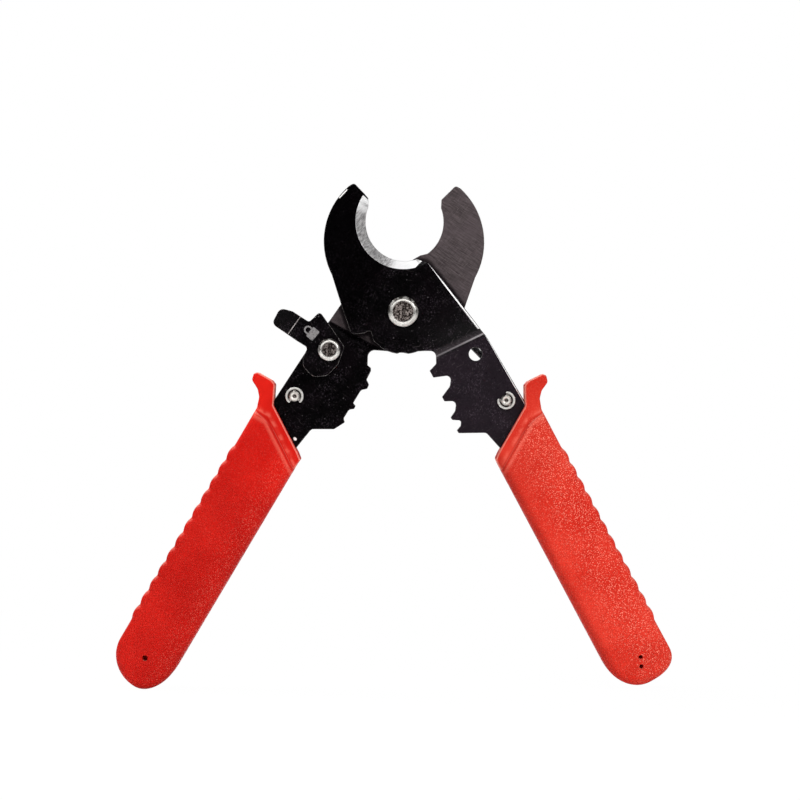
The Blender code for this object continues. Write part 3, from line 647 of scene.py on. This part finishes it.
# ---------------------------------------------------------------- mesh work


def add_object(name, bm, look, body, smooth_angle=35.0):
    """The mesh as a new object, in the row frame, riding on a body."""
    mesh = bpy.data.meshes.new(name)
    bm.to_mesh(mesh)
    bm.free()
    mesh.materials.append(look)
    mesh.shade_smooth()
    mesh.set_sharp_from_angle(angle=math.radians(smooth_angle))
    made = bpy.data.objects.new(name, mesh)
    bpy.context.scene.collection.objects.link(made)
    if body:
        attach(made, body)
    return made


def welded(node):
    """A CAD node's mesh with its triangles joined again and its flat faces made whole."""
    bm = bmesh.new()
    bm.from_mesh(frame["nodes"][node].data)
    bmesh.ops.remove_doubles(bm, verts=bm.verts, dist=0.002 * MM)
    bmesh.ops.dissolve_limit(bm, angle_limit=math.radians(0.6), verts=bm.verts, edges=bm.edges)
    bmesh.ops.recalc_face_normals(bm, faces=bm.faces)
    return bm


def lathe(profile, axis, sides):
    """A turned piece: a run of (radius, y) in millimetres, from axis to axis or closed on itself."""
    bm = bmesh.new()
    rings = []
    for radius, y in profile:
        ring = []
        for i in range(sides if radius else 1):
            angle = 2 * math.pi * i / sides
            out = radius * MM
            x, z = axis.x + out * math.cos(angle), axis.z + out * math.sin(angle)
            ring.append(bm.verts.new((x, axis.y + y * MM, z)))
        rings.append(ring)
    closed = profile[0][0] > 0
    pairs = list(zip(rings, rings[1:])) + ([(rings[-1], rings[0])] if closed else [])
    for low, high in pairs:
        for i in range(sides):
            j = (i + 1) % sides
            corners = [low[i % len(low)], low[j % len(low)], high[j % len(high)], high[i % len(high)]]
            bm.faces.new(list(dict.fromkeys(corners)))
    bmesh.ops.recalc_face_normals(bm, faces=bm.faces)
    return bm


def soften(profile, radius, steps=3):
    """Round each corner of a lathe profile by a small radius."""
    points = [profile[0]]
    for before, corner, after in zip(profile, profile[1:], profile[2:]):
        a, b, c = Vector(before), Vector(corner), Vector(after)
        reach = min(radius, (a - b).length * 0.45, (c - b).length * 0.45)
        start = b + (a - b).normalized() * reach
        end = b + (c - b).normalized() * reach
        for i in range(steps + 1):
            t = i / steps
            points.append(tuple(start * (1 - t) ** 2 + b * 2 * t * (1 - t) + end * t * t))
    points.append(profile[-1])
    return points


def flat_ring(outline, inner, front, back):
    """A plate within a run of points; the inner run leads back to its start."""
    bm = bmesh.new()
    faces = [bm.faces.new([bm.verts.new((x, front, z)) for x, z in outline + inner])]
    made = bmesh.ops.extrude_face_region(bm, geom=faces)
    moved = [item for item in made["geom"] if isinstance(item, bmesh.types.BMVert)]
    bmesh.ops.translate(bm, verts=moved, vec=(0.0, back - front, 0.0))
    bmesh.ops.recalc_face_normals(bm, faces=bm.faces)
    return bm


def add_bevel(piece, width_mm):
    step = piece.modifiers.new("edges", "BEVEL")
    step.width = width_mm * MM
    step.segments = 3
    step.limit_method = "ANGLE"
    step.angle_limit = math.radians(40.0)
    step.harden_normals = True
    step.use_clamp_overlap = True


def baked(piece):
    """Apply the piece's modifiers, as a new mesh."""
    graph = bpy.context.evaluated_depsgraph_get()
    mesh = bpy.data.meshes.new_from_object(piece.evaluated_get(graph))
    piece.modifiers.clear()
    piece.data = mesh


# ---------------------------------------------------------------- the two arms

# The front arm's slanting back lies between two heights and outside a line x + SLANT * z = START,
# in millimetres from the pivot, and is so steep.
BACK_EDGE_HEIGHTS = (-24.5, 15.0)
BACK_EDGE_INSIDE = 6.5
BACK_EDGE_SLANT = 0.72
BACK_EDGE_START = 15.0
BACK_EDGE_STEEP = (1.0, 1.9)
BACK_EDGE_FRONT = -1.4
BACK_EDGE_SHORTEST = 1.0
BACK_EDGE_RADIUS = 0.7


def back_edge(bm):
    """The front edges of the front arm's slanting back, which the press rounded."""
    rolled = []
    low, high = BACK_EDGE_HEIGHTS
    for edge in bm.edges:
        if len(edge.link_faces) != 2 or edge.calc_face_angle(0.0) < math.radians(60):
            continue
        a, b = ((Vector(vert.co) - PIVOT) / MM for vert in edge.verts)
        centre, along = (a + b) / 2, b - a
        steep = abs(along.z) / max(abs(along.x), 1e-6)
        outside = centre.x + BACK_EDGE_SLANT * centre.z > BACK_EDGE_START and centre.x >= BACK_EDGE_INSIDE
        on_front = centre.y < BACK_EDGE_FRONT and low <= centre.z <= high
        fits = along.length >= BACK_EDGE_SHORTEST and BACK_EDGE_STEEP[0] < steep < BACK_EDGE_STEEP[1]
        if outside and on_front and fits:
            rolled.append(edge)
    return rolled


def arms():
    bm = welded("front_arm")
    bmesh.ops.bevel(bm, geom=back_edge(bm), offset=BACK_EDGE_RADIUS * MM, offset_type="OFFSET", segments=5,
                    profile=0.5, affect="EDGES", clamp_overlap=False)
    front = add_object("front_arm_plate", bm, front_arm_look(), FRONT)
    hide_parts("front_arm")
    rear = add_object("rear_arm_plate", welded("rear_arm"), rear_arm_look(), REAR)
    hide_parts("rear_arm")


# ---------------------------------------------------------------- rivets, posts and clips

# Profiles are runs of (radius, y) in millimetres, y from the level of the pivot.
PIVOT_FACE = -3.2  # the front arm's face under the main rivet's head
LOCK_FACE = -3.6  # the lever's face under its rivet's head


def turned_piece(name, node, profile, axis, look, body, sides=96):
    made = add_object(name, lathe(profile, axis, sides), look, body, 50.0)
    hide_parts(node)


def hardware():
    head = PIVOT_FACE
    rivet = soften([
        (0, head - 1.42), (3.2, head - 1.42), (3.4, head - 1.5), (4.4, head - 0.8), (4.45, head),
        (3.0, head), (3.0, 8.9), (4.6, 8.9), (4.3, 9.6), (3.2, 10.1), (0, 10.1),
    ], 0.16)
    look = plated("pivot_nickel_look", PIVOT, 3.05)
    turned_piece("pivot_rivet_turned", "pivot_rivet", rivet, PIVOT, look, REAR)
    face = LOCK_FACE
    lock = soften([
        (0, face - 1.02), (2.35, face - 1.02), (2.5, face - 1.1), (3.26, face - 0.55), (3.3, face),
        (1.9, face), (1.9, 1.6), (2.5, 1.6), (2.2, 2.4), (0, 2.4),
    ], 0.14)
    look = plated("lock_nickel_look", LOCK, 2.15, disc_light=0.27)
    turned_piece("lock_rivet_turned", "lock_rivet", lock, LOCK, look, REAR)
    post = soften([
        (0, -2.45), (0.35, -2.5), (0.85, -3.0), (1.2, -3.0), (1.5, -2.8), (1.5, -2.35),
        (1.15, -2.35), (1.15, -1.6), (1.5, -1.6), (1.5, 1.6), (2.1, 1.6), (2.1, 1.95),
        (1.5, 1.95), (1.5, 4.15), (2.7, 4.15), (2.55, 4.95), (0, 4.95),
    ], 0.07, 2)
    for side, body, opening in (("left", REAR, -90.0), ("right", FRONT, 130.0)):
        axis = middle(side + "_spring_post")
        axis.y = PIVOT.y
        look = plated(side + "_post_look", axis, 0.6, POST_NICKEL, calm=True)
        turned_piece(side + "_post_turned", side + "_spring_post", post, axis, look, body, 64)
        clip(side, axis, opening, body)


CLIP_OUTER = 2.6
CLIP_INNER = 1.85
CLIP_LUG = 1.25  # radius that the three lugs reach in to
CLIP_GAP = 38.0  # half of the opening, in degrees
CLIP_LUG_HALF = 13.0
CLIP_TAPER = 0.28  # how much narrower the clip gets at its two ends
CLIP_FADE = 5.0
CLIP_EDGE = 0.18
CLIP_LEVELS = (-2.25, -1.7)
CLIP_STEPS = 96


def clip(side, axis, opening, body):
    """Open retaining clip with a rounded back and three lugs."""
    start, end = opening + CLIP_GAP, opening + 360.0 - CLIP_GAP
    lugs = (start + CLIP_LUG_HALF, opening + 180.0, end - CLIP_LUG_HALF)
    outline, inner = [], []
    for i in range(CLIP_STEPS + 1):
        turned = (end - start) * i / CLIP_STEPS
        near_end = min(turned, end - start - turned)
        outline.append((CLIP_OUTER - CLIP_TAPER * math.exp(-near_end / CLIP_FADE), start + turned))
        degrees = end - turned
        near = min(abs(degrees - centre) for centre in lugs)
        blend = min(max((near - CLIP_LUG_HALF) / CLIP_FADE + 0.5, 0.0), 1.0)
        inner.append((CLIP_LUG + (CLIP_INNER - CLIP_LUG) * blend * blend * (3 - 2 * blend), degrees))

    def flat(run):
        return [(axis.x + r * MM * math.cos(math.radians(d)), axis.z + r * MM * math.sin(math.radians(d)))
                for r, d in run]

    front, back = (axis.y + level * MM for level in CLIP_LEVELS)
    look = plated(side + "_clip_look", axis, 0.0, CLIP_NICKEL, calm=True, shaded_ring=(1.65, 2.05))
    made = add_object(side + "_clip_sprung", flat_ring(flat(outline), flat(inner), front, back), look, body)
    add_bevel(made, CLIP_EDGE)
    baked(made)
    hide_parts(side + "_e_clip")


# ---------------------------------------------------------------- lock lever

MARK_CENTRE = Vector((-26.4, -6.1))
MARK_TILT = 50.0
MARK_SIZE = 1.25
MARK_LEVELS = (-3.56, -3.49)
PRINT_DARK = (0.05, 0.047, 0.047)
PRINT_LIGHT = (0.20, 0.19, 0.19)


def lever():
    made = add_object("lock_lever_plate", welded("lock_lever"), lever_look(), LEVER)
    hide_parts("lock_lever")
    padlock_mark()


def arc(centre, radius, start, end, count):
    """Points of an arc, from one angle to another."""
    points = []
    for i in range(count + 1):
        angle = math.radians(start + (end - start) * i / count)
        points.append((centre[0] + radius * math.cos(angle), centre[1] + radius * math.sin(angle)))
    return points


def padlock_mark():
    """A plain closed padlock, printed on the lever."""
    tilt = math.radians(MARK_TILT)

    def flat(points):
        done = []
        for x, z in points:
            u = MARK_CENTRE.x + MARK_SIZE * (x * math.cos(tilt) - z * math.sin(tilt))
            w = MARK_CENTRE.y + MARK_SIZE * (x * math.sin(tilt) + z * math.cos(tilt))
            done.append((PIVOT.x + u * MM, PIVOT.z + w * MM))
        return done

    body = []
    for x, z, start in ((1.05, 0.25, 0), (-1.05, 0.25, 90), (-1.05, -1.05, 180), (1.05, -1.05, 270)):
        body += arc((x, z), 0.3, start, start + 90, 6)
    shackle = [(0.95, 0.6), *arc((0.0, 1.05), 0.95, 0, 180, 20), (-0.95, 0.6)]
    hollow = [(-0.58, 0.6), *arc((0.0, 1.05), 0.58, 180, 0, 20), (0.58, 0.6)]
    g = Look("printed_grey_look")
    worn = g.noise(g.place(LOCK), 3.0, 3.0, 0.7)
    look = g.finish(Base_Color=g.mix(g.ramp(worn, 0.3, 0.5), PRINT_DARK, PRINT_LIGHT), Roughness=0.5)
    front, back = (PIVOT.y + level * MM for level in MARK_LEVELS)
    for name, outer, inner in (("lever_mark_body", body, []), ("lever_mark_shackle", shackle, hollow)):
        made = add_object(name, flat_ring(flat(outer), flat(inner), front, back), look, LEVER)


# ---------------------------------------------------------------- spring


def spring():
    """One wire, smoothed, riding on no body."""
    look = plain_steel("spring_steel_look", (0.17, 0.165, 0.17), (0.035, 0.034, 0.036), 0.33)
    made = add_object("return_spring_wire", welded("return_spring"), look, None)
    smooth = made.modifiers.new("round", "SUBSURF")
    smooth.levels = smooth.render_levels = 2
    baked(made)
    made.data.shade_smooth()
    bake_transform(made)
    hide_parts("return_spring")


# ---------------------------------------------------------------- grips

# The same moulding turned over for the other hand.  u runs down the grip from the inner
# corner of its mouth and v from its inner edge outwards, in millimetres.  corner is that
# corner from the pivot, inner and outer are the edges' v, the outer one leaning by spread,
# pitch is the scallops', and end and end_peak are the u and v of the end's lowest point,
# with the lengths of its two rounded corners.
LEFT_GRIP = {
    "corner": (-29.8, -42.7),
    "angle": 30.7,
    "side": -1,
    "inner": 0.05,
    "outer": 18.25,
    "spread": 0.0,
    "pitch": 4.84,
    "end": 80.6,
    "end_peak": 7.6,
    "end_inner": 11.0,
    "end_outer": 10.0,
    "corner_power": 1.0,
    "holes": ((-74.2, -99.7, 0.8),),
}
RIGHT_GRIP = {
    "corner": (26.85, -42.6),
    "angle": 28.0,
    "side": 1,
    "inner": -0.25,
    "outer": 18.2,
    "spread": 0.006,
    "pitch": 4.67,
    "end": 77.5,
    "end_peak": 9.0,
    "end_inner": 11.0,
    "end_outer": 6.5,
    "corner_power": 0.8,
    "holes": ((68.3, -99.4, 0.6), (68.5, -102.1, 0.6)),
}
GRIP_HALF = 5.5
GRIP_MIDDLE = 9.0
SCALLOPS = 12
SCALLOP_FIRST = 6.0
SCALLOP_HEIGHT = 0.6
BODY_ROUND = 2.3
STOP_ROUND = 1.6
MOUTH_ROUND = 0.75
ROUND_STEPS = 6
CROWN = 0.12
COLLAR_DROP = 0.8
COLLAR_SLOPE = 0.45
COLLAR_FACE = (2.2, 4.2)  # the step fades in between these distances from the middle plane
CREASE_BLEND = 0.9
RIDGE = 0.10
VOXEL = 0.3

# Corners of the finger stop and mouth: (u, v), then which way is inwards.
FINGER_STOP = (
    (-6.5, 18.3, 0.0, -0.8), (-9.6, 19.3, 0.2, -0.8), (-11.4, 20.9, 0.4, -0.6), (-12.8, 23.6, 0.5, -0.5),
    (-14.6, 24.1, 0.2, -0.8), (-15.5, 23.3, 0.7, -0.4), (-15.6, 18.6, 0.6, 0.2), (-15.1, 17.3, 0.5, 0.4),
    (-11.6, 15.5, 0.6, 0.4), (-9.7, 14.6, 0.7, 0.4), (-1.4, 1.4, 0.8, 0.5), (-0.2, -0.1, 0.5, 1.0),
)

# The arm's tang inside the grip, as (u, v), and the slot that is open for it at the mouth.
TANG = ((-9.0, 15.3), (56.0, 13.4), (58.5, 11.0), (58.5, 6.6), (56.0, 4.4), (-1.0, 2.9))
TANG_PLAY = 0.25
SLOT_MOUTH = ((-26.0, 16.8), (-26.0, 0.6))
SLOT_HALF = 1.65
PIN_HOLE_FLOOR = -3.0


def on_grip(u, v, grip):
    """A point of the grip's plane as x and z from the pivot."""
    angle = math.radians(grip["angle"])
    x = grip["corner"][0] + grip["side"] * (u * math.sin(angle) + v * math.cos(angle))
    return x, grip["corner"][1] - u * math.cos(angle) + v * math.sin(angle)


def grip_outline(grip):
    """Points round the grip: (u, v, inwards u, inwards v, radius of the rounded edge)."""
    pitch, peak, end = grip["pitch"], grip["end_peak"], grip["end"]
    points = []
    for u in (1.6, 4.0, 8.0):
        points.append((u, grip["inner"], 0.0, 1.0, MOUTH_ROUND + (BODY_ROUND - MOUTH_ROUND) * u / 8.0))
    quarters = (
        (grip["end_inner"], grip["inner"] - peak, 1.0, range(90, 0, -6)),
        (grip["end_outer"], grip["outer"] + grip["spread"] * end - peak, grip["corner_power"],
         range(0, 91, 6)),
    )
    for length, side, power, sweep in quarters:
        for degrees in sweep:
            cos, sin = abs(math.cos(math.radians(degrees))), math.sin(math.radians(degrees))
            u = end - length + length * cos**power
            points.append((u, peak + side * sin**power, -cos, -math.copysign(sin, side), BODY_ROUND))
    bump = ((pitch / 2) ** 2 + SCALLOP_HEIGHT**2) / (2 * SCALLOP_HEIGHT)
    reach = math.degrees(math.asin(pitch / 2 / bump))
    for i in reversed(range(SCALLOPS)):
        for k in range(9 if i == 0 else 8):
            tilt = math.radians(reach * (1 - k / 4))
            u = SCALLOP_FIRST + pitch * (i + 0.5) + bump * math.sin(tilt)
            v = grip["outer"] + grip["spread"] * u + SCALLOP_HEIGHT - bump + bump * math.cos(tilt)
            points.append((u, v, -0.4 * math.sin(tilt), -1.0, BODY_ROUND * 0.85))
    for u, v, inwards_u, inwards_v in FINGER_STOP:
        points.append((u, v, inwards_u, inwards_v, MOUTH_ROUND if u < -7 or v < 14 else STOP_ROUND))
    return points


def grip_body(grip):
    """The closed solid: rounded faces, straight sides."""
    outline = grip_outline(grip)
    bm = bmesh.new()
    rings = []
    for face in (-1, 1):
        for i in range(ROUND_STEPS + 1):
            share = i / ROUND_STEPS
            angle = math.pi / 2 * (share if face < 0 else 1 - share)
            ring = []
            for u, v, inwards_u, inwards_v, radius in outline:
                inset = radius * (1 - math.sin(angle))
                y = face * (GRIP_HALF - radius * (1 - math.cos(angle)))
                x, z = on_grip(u + inwards_u * inset, v + inwards_v * inset, grip)
                ring.append(bm.verts.new((x, y, z)))
            rings.append(ring)
    for low, high in zip(rings, rings[1:]):
        for i in range(len(low)):
            j = (i + 1) % len(low)
            bm.faces.new((low[i], low[j], high[j], high[i]))
    bm.faces.new(rings[0])
    bm.faces.new(rings[-1])
    bmesh.ops.recalc_face_normals(bm, faces=bm.faces)
    return bm


def cut_with(piece, bm, name):
    """Cut one shape away and keep the result as the piece's mesh."""
    tool = bpy.data.objects.new(name, bpy.data.meshes.new(name))
    bm.to_mesh(tool.data)
    bm.free()
    bpy.context.scene.collection.objects.link(tool)
    step = piece.modifiers.new(name, "BOOLEAN")
    step.operation, step.solver, step.object = "DIFFERENCE", "EXACT", tool
    baked(piece)
    bpy.data.objects.remove(tool, do_unlink=True)


def collar(piece, grip):
    """Step the finger stop and the band along the mouth down below the body of the grip."""
    mesh = piece.data
    points = np.empty(len(mesh.vertices) * 3)
    mesh.vertices.foreach_get("co", points)
    points = points.reshape(-1, 3)
    angle = math.radians(grip["angle"])
    dx = (points[:, 0] - grip["corner"][0]) * grip["side"]
    dz = points[:, 2] - grip["corner"][1]
    u = dx * math.sin(angle) - dz * math.cos(angle)
    v = dx * math.cos(angle) + dz * math.sin(angle)
    slanted = CREASE_START - CREASE_SLOPE * v
    crease = np.logaddexp(slanted / CREASE_BLEND, CREASE_TOP / CREASE_BLEND) * CREASE_BLEND
    step = np.clip((crease - u) / COLLAR_SLOPE + 0.5, 0.0, 1.0)
    step = step * step * (3 - 2 * step)
    inside, outside = COLLAR_FACE
    share = np.clip((np.abs(points[:, 1]) - inside) / (outside - inside), 0.0, 1.0)
    ridge = RIDGE * np.exp(-((u - crease - 0.7) / 0.6) ** 2)
    across = np.clip((v - GRIP_MIDDLE) / GRIP_MIDDLE, -1.0, 1.0)
    crown = CROWN * np.cos(across * math.pi / 2) * (1.0 - step)
    points[:, 1] += np.sign(points[:, 1]) * share * (crown - CROWN + ridge - COLLAR_DROP * step)
    mesh.vertices.foreach_set("co", points.ravel())
    mesh.update()


def grip(name, node, place, body, look, slot):
    """A moulded sleeve, made in millimetres from the pivot and then scaled into place."""
    made = add_object(name, grip_body(place), look, None)
    tang = [(u + TANG_PLAY, v + math.copysign(TANG_PLAY, v - GRIP_MIDDLE)) for u, v in TANG]
    slot_outline = [on_grip(u, v, place) for u, v in (SLOT_MOUTH[0], *tang, SLOT_MOUTH[1])]
    cut_with(made, flat_ring(slot_outline, [], -SLOT_HALF, SLOT_HALF), "slot")
    step = made.modifiers.new("even", "REMESH")
    step.mode, step.voxel_size = "VOXEL", VOXEL
    step.use_smooth_shade = True
    relax = made.modifiers.new("relax", "SMOOTH")
    relax.factor, relax.iterations = 0.5, 2
    baked(made)
    collar(made, place)
    for x, z, radius in place["holes"]:
        profile = [(0, -7.0), (radius + 0.35, -7.0), (radius, 0.25 - GRIP_HALF),
                   (radius, PIN_HOLE_FLOOR), (0, PIN_HOLE_FLOOR)]
        drill = lathe(profile, Vector((0.0, 0.0, 0.0)), 24)
        there = Matrix.Translation((x, 0.0, z)) @ Matrix.Scale(1 / MM, 4)
        bmesh.ops.transform(drill, matrix=there, verts=drill.verts)
        cut_with(made, drill, "pin_hole")
    made.data.transform(Matrix.Translation(PIVOT) @ Matrix.Scale(MM, 4))
    made.data.materials.clear()
    made.data.materials.append(look)
    made.data.shade_smooth()
    made.data.set_sharp_from_angle(angle=math.radians(50.0))
    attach(made, body)
    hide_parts(node)


def grips():
    for side, place, reds, body in (
        ("left", LEFT_GRIP, LEFT_VINYL, REAR),
        ("right", RIGHT_GRIP, RIGHT_VINYL, FRONT),
    ):
        look = vinyl(side + "_vinyl_look", place, reds)
        grip(side + "_grip_moulded", side + "_grip", place, body, look, side + "_grip_vinyl")


# ---------------------------------------------------------------- small pieces kept from the CAD


def kept_pieces():
    looks = {
        "spring_bush": plain_steel("bush_look", (0.46, 0.45, 0.44), (0.24, 0.235, 0.23), 0.42),
        "pivot_washer": plain_steel("pivot_washer_look", (0.62, 0.61, 0.59), (0.40, 0.39, 0.38), 0.34),
        "lock_wave_washer": plain_steel("wave_washer_look", (0.50, 0.49, 0.47), (0.28, 0.27, 0.26), 0.36),
    }
    for node, look in looks.items():
        target = frame["nodes"][node]
        for slot in target.material_slots:
            slot.link = "OBJECT"
            slot.material = look


# ---------------------------------------------------------------- floor, light and camera

FLOOR_HALF = 3.0
FLOOR_LEVEL = -0.0002
GRIP_END_ROUND = 9.6  # how far the lowest part of a grip's end may be from its middle, in millimetres
PAPER = (0.92, 0.92, 0.92)
ROOM_DARK = 0.015
ROOM_LIGHT = 0.25
CAMERA_BACK = 0.600
CAMERA_AIM = Vector((-0.9, 0.0, -25.5)) * MM
SEEN_WIDTH = 0.232


def floor():
    bm = bmesh.new()
    corners = ((-1, -1), (1, -1), (1, 1), (-1, 1))
    bm.faces.new([bm.verts.new((x * FLOOR_HALF, y * FLOOR_HALF, FLOOR_LEVEL)) for x, y in corners])
    g = Look("floor_paper")
    facing = g.node("ShaderNodeLayerWeight", {"Blend": 0.5}).outputs["Facing"]
    glow = g.node("ShaderNodeEmission", {"Color": (*WHITE, 1.0), "Strength": 1.0}).outputs[0]
    paper = g.node("ShaderNodeBsdfDiffuse", {"Color": (*PAPER, 1.0)}).outputs[0]
    seen = g.node("ShaderNodeLightPath").outputs["Is Camera Ray"]
    share = g.times(seen, g.ramp(facing, 0.45, 0.9, 0.35, 1.0))
    mixed = g.node("ShaderNodeMixShader", {0: share, 1: paper, 2: glow}).outputs[0]
    out = g.tree.nodes["Material Output"]
    g.tree.links.new(mixed, out.inputs["Surface"])
    made = add_object("floor", bm, g.material, None)
    keep_under_grip(made)


def keep_under_grip(ground):
    """Lower the floor when the front arm's grip swings below it, as the hands would lift the tool."""
    x, z = on_grip(RIGHT_GRIP["end"] - GRIP_MIDDLE, GRIP_MIDDLE, RIGHT_GRIP)
    lowest = bpy.data.objects.new("grip_end", None)
    lowest.location = PIVOT + Vector((x, 0.0, z)) * MM
    bpy.context.scene.collection.objects.link(lowest)
    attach(lowest, FRONT)
    ground.location.z = -GRIP_END_ROUND * MM
    follow = ground.constraints.new("COPY_LOCATION")
    follow.target = lowest
    follow.use_x = follow.use_y = False
    follow.use_offset = True
    stop = ground.constraints.new("LIMIT_LOCATION")
    stop.use_max_z = True
    stop.max_z = 0.0


def world():
    """White to the camera; to everything else a soft grey room, dark behind the camera."""
    made = bpy.data.worlds.new("studio")
    made.use_nodes = True
    made.node_tree.nodes.clear()
    g = Graph(made.node_tree)
    where = g.node("ShaderNodeTexCoord").outputs["Generated"]
    level = g.ramp(g.axes(where)[1], -0.95, 0.1, ROOM_DARK, ROOM_LIGHT)
    room = g.node("ShaderNodeBackground", {"Strength": level}).outputs[0]
    white = g.node("ShaderNodeBackground", {"Color": (*WHITE, 1.0), "Strength": 1.0}).outputs[0]
    seen = g.node("ShaderNodeLightPath").outputs["Is Camera Ray"]
    mixed = g.node("ShaderNodeMixShader", {0: seen, 1: room, 2: white}).outputs[0]
    g.node("ShaderNodeOutputWorld", {"Surface": mixed})
    bpy.context.scene.world = made


def softbox(name, place, aim, size, power):
    light = bpy.data.lights.new(name, "AREA")
    light.shape = "RECTANGLE"
    light.size, light.size_y = size
    light.energy = power
    made = bpy.data.objects.new(name, light)
    made.location = place
    made.rotation_mode = "QUATERNION"
    made.rotation_quaternion = (Vector(aim) - Vector(place)).to_track_quat("-Z", "Y")
    made.visible_camera = False
    bpy.context.scene.collection.objects.link(made)


def lights():
    aim = (0.0, 0.0, 0.08)
    softbox("front_top", (0.0, -0.65, 0.72), aim, (0.9, 0.5), 4.2)
    softbox("key_right", (0.62, -0.58, 0.50), aim, (0.45, 0.45), 4.0)
    softbox("key_left", (-0.62, -0.60, 0.50), aim, (0.45, 0.45), 1.8)
    softbox("right_panel", (0.90, 0.15, 0.10), aim, (0.8, 0.5), 0.18)
    softbox("top_panel", (0.10, 0.15, 0.95), aim, (0.5, 0.4), 0.6)
    softbox("jaw_glint", (-0.22, 0.06, 0.40), (0.0, 0.0, 0.135), (0.16, 0.12), 1.4)
    softbox("back", (-0.1, 0.80, 0.45), aim, (0.8, 0.5), 1.5)


def camera():
    made = bpy.data.objects.new("camera", bpy.data.cameras.new("camera"))
    bpy.context.scene.collection.objects.link(made)
    made.location = PIVOT + CAMERA_AIM - Vector((0.0, CAMERA_BACK, 0.0))
    made.rotation_mode = "QUATERNION"
    made.rotation_quaternion = Vector((0.0, 1.0, 0.0)).to_track_quat("-Z", "Y")
    made.data.sensor_width = 36.0
    made.data.lens = 36.0 * CAMERA_BACK / SEEN_WIDTH
    made.data.clip_start, made.data.clip_end = 0.01, 20.0
    bpy.context.scene.camera = made


arms()
hardware()
lever()
spring()
grips()
kept_pieces()
floor()
world()
lights()
camera()
bpy.context.scene.view_settings.view_transform = "Standard"

bpy.context.view_layer.update()
